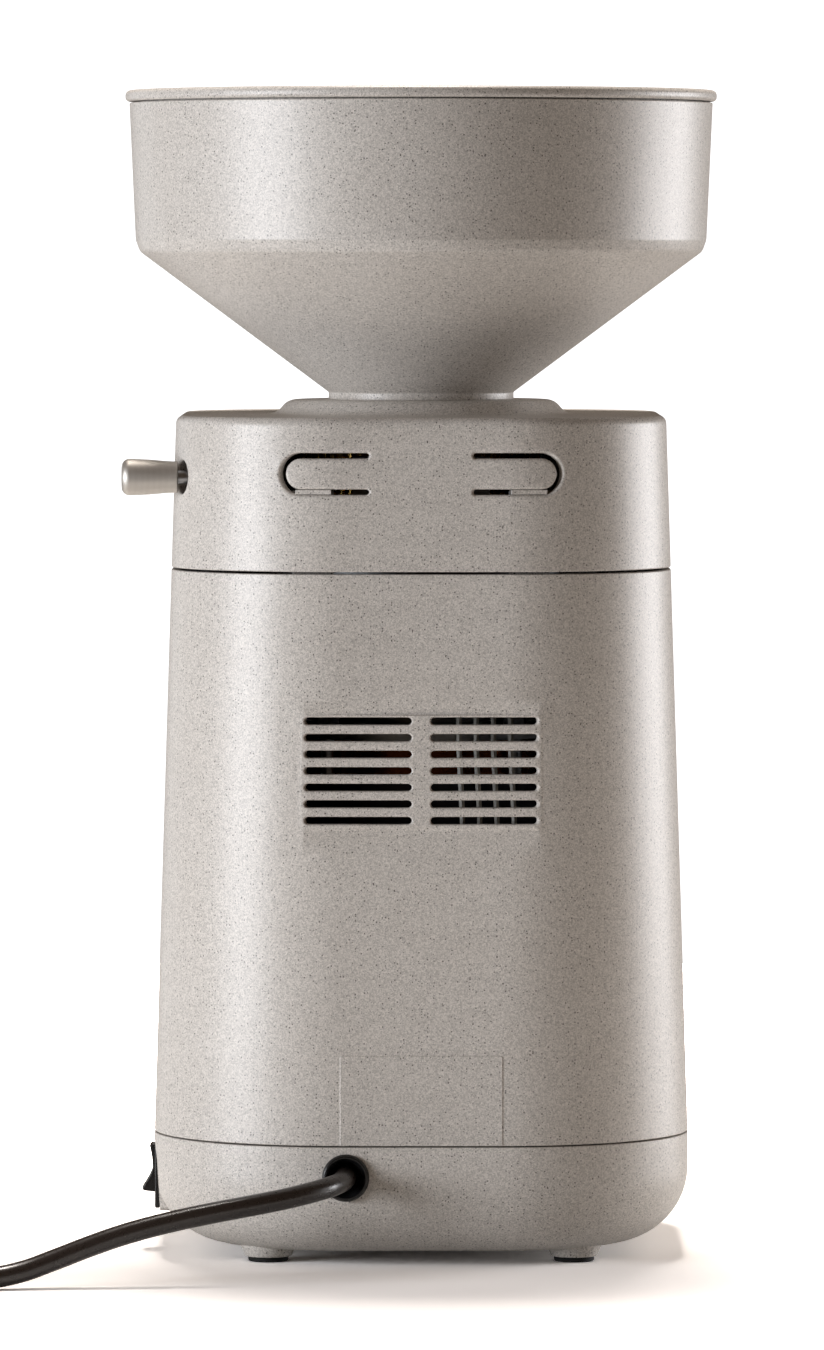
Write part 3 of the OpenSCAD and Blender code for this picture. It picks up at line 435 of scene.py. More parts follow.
def prism(outline, low, high, place, edge=0.5, holes=(), steps=3):
    """A plate from an outline (u, v) between two heights, its outer edges rounded, with plain holes.

    place turns (u, v, height) into a point. The outline runs anticlockwise.
    """
    points, faces = [], []
    flat, edges, loops = [], [], []

    def inset(loop, by):
        out = []
        for i in range(len(loop)):
            a, b, c = (np.array(loop[j % len(loop)], float) for j in (i - 1, i, i + 1))
            e1, e2 = b - a, c - b
            n1 = np.array([-e1[1], e1[0]]) / max(np.linalg.norm(e1), 1e-9)
            n2 = np.array([-e2[1], e2[0]]) / max(np.linalg.norm(e2), 1e-9)
            m = n1 + n2
            m = m / max(np.linalg.norm(m), 1e-9)
            out.append(tuple(b + m * by / max(float(m @ n1), 0.4)))
        return out

    rings = []
    for k in range(steps + 1):
        t = math.radians(90 * k / steps)
        rings.append((inset(outline, edge * (1 - math.sin(t))), low + edge * (1 - math.cos(t))))
    for k in range(steps, -1, -1):
        t = math.radians(90 * k / steps)
        rings.append((inset(outline, edge * (1 - math.sin(t))), high - edge * (1 - math.cos(t))))
    count = len(outline)
    for loop, h in rings:
        points += [place(u, v, h) for u, v in loop]
    for i in range(len(rings) - 1):
        for k in range(count):
            m = (k + 1) % count
            faces.append((i * count + k, i * count + m, (i + 1) * count + m, (i + 1) * count + k))
    cap = [Vector(p) for p in rings[0][0]]
    edges = [(k, (k + 1) % count) for k in range(count)]
    for hole in holes:
        start = len(cap)
        cap += [Vector(p) for p in hole]
        edges += [(start + k, start + (k + 1) % len(hole)) for k in range(len(hole))]
        loops.append((start, len(hole), hole))
    verts, _, tris, origins, _, _ = delaunay_2d_cdt(cap, edges, [], 1, 1e-5, True)
    where = places_of(origins)
    outer_poly = np.array(rings[0][0])
    kept = []
    for tri in tris:
        centre = sum((Vector(verts[j]) for j in tri), Vector((0, 0))) / len(tri)
        if not inside(centre, outer_poly) or any(inside(centre, np.array(h)) for _, _, h in loops):
            continue
        kept.append(tri)
    back = {new: source for source, new in where.items()}
    low_of, high_of = {}, {}
    last = (len(rings) - 1) * count
    for new in range(len(verts)):
        source = back.get(new)
        if source is not None and source < count:
            low_of[new], high_of[new] = source, last + source
        else:
            low_of[new] = len(points)
            points.append(place(verts[new][0], verts[new][1], low))
            high_of[new] = len(points)
            points.append(place(verts[new][0], verts[new][1], high))
    for tri in kept:
        faces.append(tuple(low_of[j] for j in reversed(tri)))
        faces.append(tuple(high_of[j] for j in tri))
    for start, size, _ in loops:
        for k in range(size):
            a, b = where[start + k], where[start + (k + 1) % size]
            faces.append((low_of[a], low_of[b], high_of[b], high_of[a]))
    return points, faces


def inside(point, polygon):
    """True if the point is in the polygon, an array of corners."""
    x, y = point[0], point[1]
    px, py = polygon[:, 0], polygon[:, 1]
    qx, qy = np.roll(px, -1), np.roll(py, -1)
    crosses = (py > y) != (qy > y)
    with np.errstate(divide="ignore", invalid="ignore"):
        at = (qx - px) * (y - py) / (qy - py) + px
    return bool(np.count_nonzero(crosses & (x < at)) % 2)


def upright(u, v, h):
    return (u, v, h)


def combine(*parts):
    """Several (points, faces) as one."""
    points, faces = [], []
    for some, more in parts:
        start = len(points)
        points += some
        faces += [tuple(start + i for i in f) for f in more]
    return points, faces


# ---------------------------------------------------------------- moulded shells
REF_R = 52.0  # radius that turns plan angles into distance round the wall
QUARTER = REF_R * math.pi / 2
SIDE_LEN = CORNER_X + FRONT_C
COLUMNS = 252  # steps of a shell's skin round the wall
HALF_ROUND = 2 * CORNER_X + SIDE_LEN + 2 * QUARTER  # from the middle of the back to the middle of the front


def plan(s, r):
    """Point and outward direction in plan at distance s round the wall from the middle of the back."""
    full = 2 * HALF_ROUND
    s = (s + HALF_ROUND) % full - HALF_ROUND
    sign = 1.0 if s >= 0 else -1.0
    s = abs(s)
    if s <= CORNER_X:
        return (sign * s, CORNER_X + r), (0.0, 1.0)
    s -= CORNER_X
    if s <= QUARTER:
        a = s / REF_R
        return (
            (sign * (CORNER_X + r * math.sin(a)), CORNER_X + r * math.cos(a)),
            (sign * math.sin(a), math.cos(a)),
        )
    s -= QUARTER
    if s <= SIDE_LEN:
        return (sign * (CORNER_X + r), CORNER_X - s), (sign, 0.0)
    s -= SIDE_LEN
    if s <= QUARTER:
        a = s / REF_R
        return (
            (sign * (CORNER_X + r * math.cos(a)), -FRONT_C - r * math.sin(a)),
            (sign * math.cos(a), -math.sin(a)),
        )
    s -= QUARTER
    return (sign * (CORNER_X - s), -FRONT_C - r), (0.0, -1.0)


def rounded_rect(half_u, half_v, r, n=6):
    """Anticlockwise corners of a rounded rectangle with their outward directions."""
    out = []
    for cu, cv, a0 in (
        (half_u - r, half_v - r, 0), (-half_u + r, half_v - r, 90), (-half_u + r, -half_v + r, 180),
        (half_u - r, -half_v + r, 270),
    ):
        for k in range(n + 1):
            a = math.radians(a0 + 90 * k / n)
            out.append((cu + r * math.cos(a), cv + r * math.sin(a), math.cos(a), math.sin(a)))
    clean = [out[0]]
    for p in out[1:]:
        if math.hypot(p[0] - clean[-1][0], p[1] - clean[-1][1]) > 1e-6:
            clean.append(p)
    if math.hypot(clean[0][0] - clean[-1][0], clean[0][1] - clean[-1][1]) < 1e-6:
        clean.pop()
    return clean


def shifted(loop, u, v):
    return [(a + u, b + v, c, d) for a, b, c, d in loop]


def wall_skin(
    s_range, z_range, surface, holes, guides=(), rim=0.35, hole_edge=0.45, wall=WALL, open_low=False,
    open_high=False, step_z=12.0, rows=(),
):
    """A moulded wall: outer and inner skins over (s, z), with rounded rims and rounded edges round each hole.

    surface(s, z, depth) gives a point. Each hole is a loop of (s, z, ns, nz) with an optional wall direction.
    guides are loops that the triangles follow, where the surface has a step.
    """
    s0, s1 = s_range
    z0 = z_range[0] if open_low else z_range[0] + rim
    z1 = z_range[1] if open_high else z_range[1] - rim
    flat, edges, kinds = [], [], []

    def add(u, v, kind=None):
        flat.append(Vector((u, v)))
        kinds.append(kind)
        return len(flat) - 1

    columns = [s0 + (s1 - s0) * k / COLUMNS for k in range(COLUMNS + 1)]
    gaps = max(1, round((z1 - z0) / step_z))
    levels = sorted({z0 + (z1 - z0) * k / gaps for k in range(gaps + 1)} | {z for z in rows if z0 < z < z1})
    low = [add(s, z0) for s in columns]
    high = [add(s, z1) for s in columns]
    left = [low[0]] + [add(s0, z) for z in levels[1:-1]] + [high[0]]
    right = [low[-1]] + [add(s1, z) for z in levels[1:-1]] + [high[-1]]
    for chain in (low, high, left, right):
        edges += list(zip(chain[:-1], chain[1:]))
    polygons = []
    for number, (loop, _) in enumerate(holes):
        ids = [add(s + hole_edge * ns, z + hole_edge * nz, (number, k))
            for k, (s, z, ns, nz) in enumerate(loop)]
        edges += [(ids[k], ids[(k + 1) % len(ids)]) for k in range(len(ids))]
        polygons.append(np.array([(flat[i][0], flat[i][1]) for i in ids]))
    for loop, is_closed in guides:
        ids = [add(s, z) for s, z in loop]
        edges += list(zip(ids[:-1], ids[1:]))
        if is_closed:
            edges.append((ids[-1], ids[0]))
    taken = np.array([(p[0], p[1]) for p in flat])
    for z in levels[1:-1]:
        for s in columns[1:-1]:
            if any(inside((s, z), poly) for poly in polygons):
                continue
            if np.min(np.hypot(taken[:, 0] - s, taken[:, 1] - z)) < 0.5:
                continue
            add(s, z)
    verts, _, tris, origins, _, _ = delaunay_2d_cdt(flat, edges, [], 1, 1e-6, True)
    where = places_of(origins)
    kind_of = {where[i]: kinds[i] for i in range(len(kinds)) if kinds[i] is not None}
    points, faces = [], []

    def put(p):
        points.append(p)
        return len(points) - 1

    on_low = sorted((n for n, v in enumerate(verts) if abs(v[1] - z0) < 1e-5), key=lambda n: verts[n][0])
    on_high = sorted((n for n, v in enumerate(verts) if abs(v[1] - z1) < 1e-5), key=lambda n: verts[n][0])
    bottom, top = set(on_low), set(on_high)
    outer, inner = {}, {}
    for new, (s, z) in enumerate(verts):
        outer[new] = put(surface(s, z, 0.0))
        kind = kind_of.get(new)
        if kind is not None:
            loop, direction = holes[kind[0]]
            hs, hz = loop[kind[1]][:2]
            if direction is None:
                inner[new] = put(surface(hs, hz, wall))
            else:
                p = surface(hs, hz, 0.0)
                inner[new] = put(tuple(p[j] + wall * direction[j] for j in range(3)))
        else:
            zi = z_range[0] if new in bottom else z_range[1] if new in top else z
            inner[new] = put(surface(s, zi, wall))
    for tri in tris:
        centre = sum((Vector(verts[j]) for j in tri), Vector((0, 0))) / len(tri)
        if any(inside(centre, poly) for poly in polygons):
            continue
        faces.append(tuple(outer[j] for j in tri))
        faces.append(tuple(inner[j] for j in reversed(tri)))
    # Rounded edge and wall of each hole
    steps = 4
    for number, (loop, direction) in enumerate(holes):
        ids = [None] * len(loop)
        for new, kind in kind_of.items():
            if kind[0] == number:
                ids[kind[1]] = new
        previous = [outer[i] for i in ids]
        for k in range(1, steps + 1):
            t = math.radians(90 * k / steps)
            out, depth = hole_edge * (1 - math.sin(t)), hole_edge * (1 - math.cos(t))
            ring = []
            for s, z, ns, nz in loop:
                if direction is None:
                    ring.append(put(surface(s + out * ns, z + out * nz, depth)))
                else:
                    p = surface(s + out * ns, z + out * nz, 0.0)
                    ring.append(put(tuple(p[j] + depth * direction[j] for j in range(3))))
            for m in range(len(loop)):
                n = (m + 1) % len(loop)
                faces.append((previous[m], previous[n], ring[n], ring[m]))
            previous = ring
        last = [inner[i] for i in ids]
        for m in range(len(loop)):
            n = (m + 1) % len(loop)
            faces.append((previous[m], previous[n], last[n], last[m]))
    # Rims
    ends = [] if open_low else [(on_low, z_range[0], 1.0)]
    ends += [] if open_high else [(on_high, z_range[1], -1.0)]
    for chain, zi, sign in ends:
        previous = [outer[i] for i in chain]
        for k in range(1, 4):
            t = math.radians(30 * k)
            ring = [
                put(surface(verts[i][0], zi + sign * rim * (1 - math.sin(t)), rim * (1 - math.cos(t))))
                for i in chain
            ]
            for m in range(len(chain) - 1):
                faces.append((previous[m], previous[m + 1], ring[m + 1], ring[m]))
            previous = ring
        last = [inner[i] for i in chain]
        for m in range(len(chain) - 1):
            faces.append((previous[m], previous[m + 1], last[m + 1], last[m]))
    return points, faces, [outer[i] for i in on_high]


def raised(s, z, pads):
    """Height of the low moulded pads at (s, z)."""
    for ms, mz, hs, hz, corner, height, width in pads:
        du, dv = abs(s - ms) - hs + corner, abs(z - mz) - hz + corner
        distance = math.hypot(max(du, 0.0), max(dv, 0.0)) + min(max(du, dv), 0.0) - corner
        if distance < 1e-7:
            return height * min(1.0, max(0.0, -distance / width))
    return 0.0


def pad_guides(pads, z_low):
    """The outlines that the triangles follow round each pad, cut off at the wall's lower end."""
    loops = []
    for ms, mz, hs, hz, corner, height, width in pads:
        for inset in (0.0, width):
            loop = shifted(rounded_rect(hs - inset, hz - inset, max(corner - inset, 0.05), 4), ms, mz)
            loop = [(p[0], p[1]) for p in loop]
            if mz - hz >= z_low:
                loops.append((loop, True))
                continue
            above = [p for p in loop if p[1] > z_low + 0.3]
            right = [p for p in above if p[0] > ms]
            left = [p for p in above if p[0] <= ms]
            x0, x1 = ms - hs + inset, ms + hs - inset
            loops.append(([(x1, z_low)] + right + left + [(x0, z_low)], False))
    return loops


def places_of(origins):
    """The new number of each point that was given to the triangulation."""
    return {source: new for new, sources in enumerate(origins) for source in sources}


def plate_skin(outline, holes, z_out, z_in, open_holes=(), step=9.0):
    """A flat wall inside an outline: skins at both heights, walled holes, and holes left open."""
    flat = [Vector(p) for p in outline]
    edges = [(k, (k + 1) % len(outline)) for k in range(len(outline))]
    polygons, starts = [], []
    for loop in list(holes) + list(open_holes):
        starts.append(len(flat))
        edges += [(len(flat) + k, len(flat) + (k + 1) % len(loop)) for k in range(len(loop))]
        flat += [Vector(p) for p in loop]
        polygons.append(np.array(loop))
    border = np.array(outline)
    taken = np.array([(p[0], p[1]) for p in flat])
    low, high = border.min(0), border.max(0)
    for i in range(1, int((high[0] - low[0]) / step)):
        for j in range(1, int((high[1] - low[1]) / step)):
            x, y = low[0] + i * step, low[1] + j * step
            if inside((x, y), border) and not any(inside((x, y), p) for p in polygons):
                if np.min(np.hypot(taken[:, 0] - x, taken[:, 1] - y)) > 0.3 * step:
                    flat.append(Vector((x, y)))
    verts, _, tris, origins, _, _ = delaunay_2d_cdt(flat, edges, [], 1, 1e-6, True)
    where = places_of(origins)
    points = [(v[0], v[1], z_out) for v in verts] + [(v[0], v[1], z_in) for v in verts]
    count = len(verts)
    faces = []
    for tri in tris:
        centre = sum((Vector(verts[j]) for j in tri), Vector((0, 0))) / len(tri)
        if not inside(centre, border) or any(inside(centre, p) for p in polygons):
            continue
        faces += [tuple(tri), tuple(count + j for j in reversed(tri))]
    for start, loop in zip(starts, holes):
        for k in range(len(loop)):
            a, b = where[start + k], where[start + (k + 1) % len(loop)]
            faces.append((a, b, count + b, count + a))
    return points, faces


def panel(loop, surface, edge, wall=WALL, step=1.6):
    """A moulded patch inside a loop of (s, z, ns, nz), its edge rounded inwards, closed behind."""
    inset = [(s - edge * ns, z - edge * nz) for s, z, ns, nz in loop]
    flat = [Vector(p) for p in inset]
    border = np.array(inset)
    edges = [(k, (k + 1) % len(loop)) for k in range(len(loop))]
    low, high = border.min(0), border.max(0)
    for i in range(1, int((high[0] - low[0]) / step)):
        for j in range(1, int((high[1] - low[1]) / step) + 1):
            p = (low[0] + i * step, low[1] + j * step)
            gap = np.min(np.hypot(border[:, 0] - p[0], border[:, 1] - p[1]))
            if inside(p, border) and gap > 0.4 * step:
                flat.append(Vector(p))
    verts, _, tris, origins, _, _ = delaunay_2d_cdt(flat, edges, [], 1, 1e-6, True)
    where = places_of(origins)
    back = {new: source for source, new in where.items()}
    points = [surface(v[0], v[1], 0.0) for v in verts]
    count = len(verts)
    for new, v in enumerate(verts):
        source = back.get(new)
        s, z = loop[source][:2] if source is not None and source < len(loop) else (v[0], v[1])
        points.append(surface(s, z, wall))
    faces = []
    for tri in tris:
        centre = sum((Vector(verts[j]) for j in tri), Vector((0, 0))) / len(tri)
        if inside(centre, border):
            faces += [tuple(tri), tuple(count + j for j in reversed(tri))]
    previous = [where[k] for k in range(len(loop))]
    for k in range(1, 5):
        t = math.radians(22.5 * k)
        into, depth = edge * (1 - math.sin(t)), edge * (1 - math.cos(t))
        ring = []
        for s, z, ns, nz in loop:
            ring.append(len(points))
            points.append(surface(s - into * ns, z - into * nz, depth))
        for m in range(len(loop)):
            n = (m + 1) % len(loop)
            faces.append((previous[m], previous[n], ring[n], ring[m]))
        previous = ring
    for m in range(len(loop)):
        n = (m + 1) % len(loop)
        faces.append((previous[m], previous[n], count + where[n], count + where[m]))
    return points, faces


def along_back(x, z):
    """Distance round the wall of the back's point with that x at height z."""
    reach = abs(x) - CORNER_X
    if reach <= 0:
        return x
    return math.copysign(CORNER_X + REF_R * math.asin(min(1.0, reach / side_r(z))), x)


def on_back(loop):
    return [(along_back(x, z), z, nx, nz) for x, z, nx, nz in loop]


def wall_surface(pads=()):
    def at(s, z, depth):
        lift = raised(s, z, pads) if pads and depth < 1.0 else 0.0
        (x, y), _ = plan(s, side_r(z) - depth + lift)
        return (x, y, z)
    return at


S_START = -(CORNER_X + QUARTER + 40.0)
S_SPAN = (S_START, S_START + 2 * HALF_ROUND)
FRONT_S = HALF_ROUND

# ---------------------------------------------------------------- body shell
VENT_X = (2.75, 33.85)
VENT_TOP_Z = 159.4
VENT_PITCH = 4.79
VENT_H = 2.14
VENT_EDGE = 0.55
vent_middle = sum(VENT_X) / 2
vent_half = (VENT_X[1] - VENT_X[0]) / 2
body_holes = []
for row in range(7):
    for side in (-1, 1):
        slot_loop = rounded_rect(vent_half, VENT_H / 2, VENT_H / 2, 5)
        slot_at = shifted(slot_loop, side * vent_middle, VENT_TOP_Z - VENT_PITCH * row)
        body_holes.append((on_back(slot_at), None))
OUTLET_HALF_X, OUTLET_HALF_Z, OUTLET_Z = 17.5, 13.75, 181.75
TRIGGER_Z, TRIGGER_BORE_R = 127.0, 5.05
body_holes.append((shifted(rounded_rect(OUTLET_HALF_X, OUTLET_HALF_Z, 1.5, 3), FRONT_S, OUTLET_Z), None))
body_holes.append(
    (shifted(rounded_rect(TRIGGER_BORE_R, TRIGGER_BORE_R, TRIGGER_BORE_R, 6), FRONT_S, TRIGGER_Z), None)
)
vent_pad_half = along_back(35.1, 145.0)
# Blank label and vent panel: middle s and z, half sizes, corner radius, height, width of the sloping edge
body_pads = [
    (0.0, 49.0, 23.6, 13.75, 0.8, 0.22, 0.22),
    (0.0, 144.6, vent_pad_half, 17.0, 1.6, 0.10, 0.35),
]
points, faces, _ = wall_skin(
    S_SPAN, (LOWER_SEAM[1], UPPER_SEAM[0]), wall_surface(body_pads), body_holes, hole_edge=VENT_EDGE,
    guides=pad_guides(body_pads, LOWER_SEAM[1] + 0.35),
)


def block(x0, x1, y0, y1, z0, z1, edge=0.6):
    """A block with rounded vertical and horizontal edges."""
    outline = rounded([(x0, y0), (x1, y0), (x1, y1), (x0, y1)], edge)
    return prism(outline, z0, z1, upright, edge)


def circle(r, cu=0.0, cv=0.0, count=32):
    return [(cu + r * math.cos(2 * math.pi * k / count), cv + r * math.sin(2 * math.pi * k / count))
        for k in range(count)]


def facing_front(u, v, h):
    """Outline in x and z, height running towards the front."""
    return (u, -h, v)


fork_pad = prism(
    rounded([(-24, 106), (24, 106), (24, 138), (-24, 138)], 2.0), 91.0, 95.0, facing_front, 0.5,
    [circle(TRIGGER_BORE_R, 0, TRIGGER_Z)],
)
HOOK_X = 31.3
HOOK_HALF = 5.2
hook_z = TAB_Z - TAB_MID_R
hook_parts = []
for side in (-1, 1):
    hook_loop = on_back(shifted(rounded_rect(HOOK_HALF, TAB_SLOT / 2 - 0.12, 0.12, 2), side * HOOK_X,
        hook_z))
    hook_parts.append(panel(hook_loop, lambda s, z, d: wall_surface()(s, z, d + 0.25), 0.12, 6.0))
    hook_parts.append(block(side * HOOK_X - 6.0, side * HOOK_X + 6.0, 64.4, 66.6, 185.0, hook_z + 0.4, 0.4))
piece(
    "body_shell_skin", *combine((points, faces), fork_pad, *hook_parts), "housing", "speckled_shell",
    ["body_shell"],
    merge=0.002,
)

# ---------------------------------------------------------------- upper housing
ROUND_START = TOP_Z - TOP_ROUND
ROOF_R = side_r(ROUND_START) - TOP_ROUND


def upper_surface(s, v, depth):
    """The wall up to the rounded top edge; v runs on along the arc above its start."""
    if v <= ROUND_START:
        (x, y), _ = plan(s, side_r(v) - depth)
        return (x, y, v)
    if depth > 1.0:
        inner_r = side_r(ROUND_START) - depth
        share = (v - ROUND_START) / (TOP_ROUND * math.pi / 2)
        (x, y), _ = plan(s, inner_r + share * (ROOF_R - inner_r))
        return (x, y, ROUND_START)
    t = (v - ROUND_START) / TOP_ROUND
    (x, y), _ = plan(s, ROOF_R + (TOP_ROUND - depth) * math.cos(t))
    return (x, y, ROUND_START + (TOP_ROUND - depth) * math.sin(t))


def tab_outline(side, with_slots):
    """The tab's own outline, or that of the tab and its slot together, as (s, z, ns, nz)."""
    tab_half = TAB_MID_R - TAB_SLOT / 2
    root = [(TAB_ROOT_X, TAB_Z + q * tab_half, 0.0, 0.0) for q in (0.6, 0.2, -0.2, -0.6)]
    out = [(TAB_ROOT_X, TAB_Z + tab_half, 0.0, -1.0 if with_slots else 1.0)] + root
    if with_slots:
        h = TAB_SLOT / 2
        for k in range(9):
            a = math.radians(90 + 180 * k / 8)
            out.append((TAB_ROOT_X + h * math.cos(a), TAB_Z - TAB_MID_R + h * math.sin(a), math.cos(a),
                math.sin(a)))
        reach = TAB_MID_R + h
    else:
        out.append((TAB_ROOT_X, TAB_Z - tab_half, 0.0, -1.0))
        reach = tab_half
    out += [(TAB_ROOT_X + q * (TAB_END_X - TAB_ROOT_X), TAB_Z - reach, 0.0, -1.0)
        for q in (0.2, 0.4, 0.6, 0.8)]
    for k in range(25):
        a = math.radians(-90 + 180 * k / 24)
        out.append((TAB_END_X + reach * math.cos(a), TAB_Z + reach * math.sin(a), math.cos(a), math.sin(a)))
    out += [(TAB_ROOT_X + q * (TAB_END_X - TAB_ROOT_X), TAB_Z + reach, 0.0, 1.0)
        for q in (0.8, 0.6, 0.4, 0.2)]
    if with_slots:
        for k in range(8):
            a = math.radians(90 + 180 * k / 8)
            out.append((TAB_ROOT_X + h * math.cos(a), TAB_Z + TAB_MID_R + h * math.sin(a), math.cos(a),
                math.sin(a)))
    if side < 0:
        out = [(-x, z, -nx, nz) for x, z, nx, nz in reversed(out)]
    return on_back(out)


TAB_EDGE = 0.9
KNOB_HOLE_R = 4.85
upper_holes = [(tab_outline(side, True), None) for side in (1, -1)]
knob_loop = []
for y, z, ny, nz in shifted(rounded_rect(KNOB_HOLE_R, KNOB_HOLE_R, KNOB_HOLE_R, 7), WORM_Y, WORM_Z):
    turn = math.asin((y - CORNER_X) / side_r(z))
    knob_loop.append((CORNER_X + QUARTER - REF_R * turn, z, -ny, nz))
upper_holes.append((list(reversed(knob_loop)), (-1.0, 0.0, 0.0)))
ARC_END = ROUND_START + TOP_ROUND * math.pi / 2
points, faces, high_outer = wall_skin(
    S_SPAN, (UPPER_SEAM[1], ARC_END), upper_surface, upper_holes, hole_edge=TAB_EDGE, rim=0.35,
    rows=[ROUND_START] + [ROUND_START + 0.1 + 0.45 * k for k in range(9)], step_z=9.0, open_high=True,
)
roof_outline = [points[i][:2] for i in high_outer[:-1]]
ROOF_LOOP_N = 120
RAMP_R, RAMP_DEG = 5.4, 53.0
RAMP_FOOT_R = 45.5
boss_circle = circle(RAMP_FOOT_R, count=ROOF_LOOP_N)
roof = plate_skin(roof_outline, [], TOP_Z, ROUND_START, [boss_circle])
strip = (
    [(RAMP_FOOT_R, TOP_Z)] + arc(RAMP_FOOT_R, TOP_Z + RAMP_R, RAMP_R, 270, 270 - RAMP_DEG, 7)[1:]
    + arc(36.9, BOSS_Z - RAMP_R, RAMP_R, 90 - RAMP_DEG, 90, 7)
    + [
        (32.0, BOSS_Z), (NECK_HOLE_R + 0.5, BOSS_Z), (NECK_HOLE_R + 0.15, BOSS_Z - 0.15),
        (NECK_HOLE_R, BOSS_Z - 0.5), (NECK_HOLE_R, ROUND_START), (RAMP_FOOT_R, ROUND_START),
    ]
)
strip_points, strip_faces = [], []
for r, h in strip:
    strip_points += [(x, y, h) for x, y in circle(r, count=ROOF_LOOP_N)]
for i in range(len(strip) - 1):
    for k in range(ROOF_LOOP_N):
        m = (k + 1) % ROOF_LOOP_N
        strip_faces.append((i * ROOF_LOOP_N + k, i * ROOF_LOOP_N + m, (i + 1) * ROOF_LOOP_N + m,
            (i + 1) * ROOF_LOOP_N + k))
piece(
    "upper_housing_skin", *combine((points, faces), roof, (strip_points, strip_faces)), "housing",
    "speckled_shell",
    ["upper_housing"], merge=0.002,
)
for side, name in ((1, "left"), (-1, "right")):
    piece(
        f"release_tab_{name}_skin", *panel(tab_outline(side, False), upper_surface, TAB_EDGE),
        f"tab_{name}",
        "speckled_shell", [f"release_tab_{name}"], merge=0.002,
    )

# ---------------------------------------------------------------- base
BASE_TURN_Z = UNDERSIDE_Z + BASE_ROUND
BASE_V0 = BASE_TURN_Z - BASE_ROUND * math.pi / 2
POCKET_V = (10.37, 34.45)
POCKET_HALF_Y = 8.6
POCKET_CORNER = 2.0
POCKET_WIDTH = 0.35
# The flank round the switch is flat up to a height, leans out above it, and fades into the wall at both ends
FLANK_Y = (-6.0, 66.0)
FLANK_FADE = 10.0
FLANK_FLAT_Z = 26.0
FLANK_LEAN = 1.5 / 8.4
switch_s = CORNER_X + QUARTER + CORNER_X - SWITCH_Y
pocket_mid_v = sum(POCKET_V) / 2
pocket_half_v = (POCKET_V[1] - POCKET_V[0]) / 2


def ease(t):
    t = min(1.0, max(0.0, t))
    return t * t * (3 - 2 * t)


def base_surface(s, v, depth):
    """The base's wall; v is the height above its rounded lower edge and runs on along the arc below it."""
    if v >= BASE_TURN_Z:
        z, r = v, BASE_R - depth
    else:
        t = (BASE_TURN_Z - v) / BASE_ROUND
        reach = BASE_ROUND - depth
        z, r = BASE_TURN_Z - reach * math.sin(t), BASE_R - BASE_ROUND + reach * math.cos(t)
    (x, y), _ = plan(s, r)
    if x > 70 and y > 0:
        limit = SWITCH_FACE_X + max(0.0, z - FLANK_FLAT_Z) * FLANK_LEAN
        near = ease((y - FLANK_Y[0]) / FLANK_FADE) * ease((FLANK_Y[1] - y) / FLANK_FADE)
        x -= near * max(0.0, x - limit + depth)
    du = abs(s - switch_s) - POCKET_HALF_Y + POCKET_CORNER
    dv = abs(v - pocket_mid_v) - pocket_half_v + POCKET_CORNER
    distance = math.hypot(max(du, 0.0), max(dv, 0.0)) + min(max(du, dv), 0.0) - POCKET_CORNER
    if distance < 1e-7:
        share = min(1.0, -distance / POCKET_WIDTH)
        x += share * (SWITCH_FACE_X - depth - x)
    return (x, y, z)


def circle_loop(r, s, v, n=7):
    return shifted(rounded_rect(r, r, r, n), s, v)


base_holes = [
    ([(along_back(x, 36.0), v, a, b) for x, v, a, b in circle_loop(5.6, GLAND_X, GLAND_Z)], None),
    (shifted(rounded_rect(6.6, 9.23, 0.6, 2), switch_s, 22.72), (-1.0, 0.0, 0.0)),
]
pocket = []
for w in (0.0, POCKET_WIDTH):
    pocket_loop = rounded_rect(POCKET_HALF_Y - w, pocket_half_v - w, POCKET_CORNER - w, 4)
    pocket.append(([(a, b) for a, b, _, _ in shifted(pocket_loop, switch_s, pocket_mid_v)], True))
points, faces, _ = wall_skin(
    S_SPAN, (BASE_V0, LOWER_SEAM[0]), base_surface, base_holes, hole_edge=0.35, guides=pocket, step_z=2.2,
    open_low=True,
)
underside_loop = [plan(S_SPAN[0] + (S_SPAN[1] - S_SPAN[0]) * k / COLUMNS, BASE_R - BASE_ROUND)[0]
    for k in range(COLUMNS)]
intakes = [
    [(x, y) for x, y, _, _ in shifted(rounded_rect(20.0, 1.5, 1.5, 5), 0.0, 8.0 * i - 12.5)]
    for i in range(-3, 4)
]
SCREW_AT = [(x, y) for x in (-50.0, 50.0) for y in (38.0, -56.0)]
FEET_AT = [(x, y) for x in (-44.7, 44.7) for y in (47.0, -65.0)]
sockets = [circle(4.0, x, y, 24) for x, y in SCREW_AT]
bottom = plate_skin(underside_loop, intakes + sockets, UNDERSIDE_Z, UNDERSIDE_Z + WALL)
shelf_outline = (
    [(50, -74), (-50, -74)] + arc(-32, -134, 18, 180, 270, 10) + arc(32, -134, 18, 270, 360, 10)
)
shelf = prism(shelf_outline, UNDERSIDE_Z, 10.5, upright, 2.0, steps=5)
foot_bosses = []
for x, y in FEET_AT:
    profile = rounded([(0, 3.0, 0), (6.0, 3.0, 0), (6.0, 1.5, 0.2), (6.8, 1.5, 0.5), (8.1, 4.6, 0),
        (8.1, 6.0, 0), (0, 6.0, 0)], 0.3)
    foot_bosses.append(revolve(profile, 48, lambda a, b, c, x=x, y=y: (a + x, b + y, c)))
piece(
    "base_shell_skin", *combine((points, faces), bottom, shelf, *foot_bosses), "housing", "speckled_shell",
    ["base_shell"],
    merge=0.002,
)

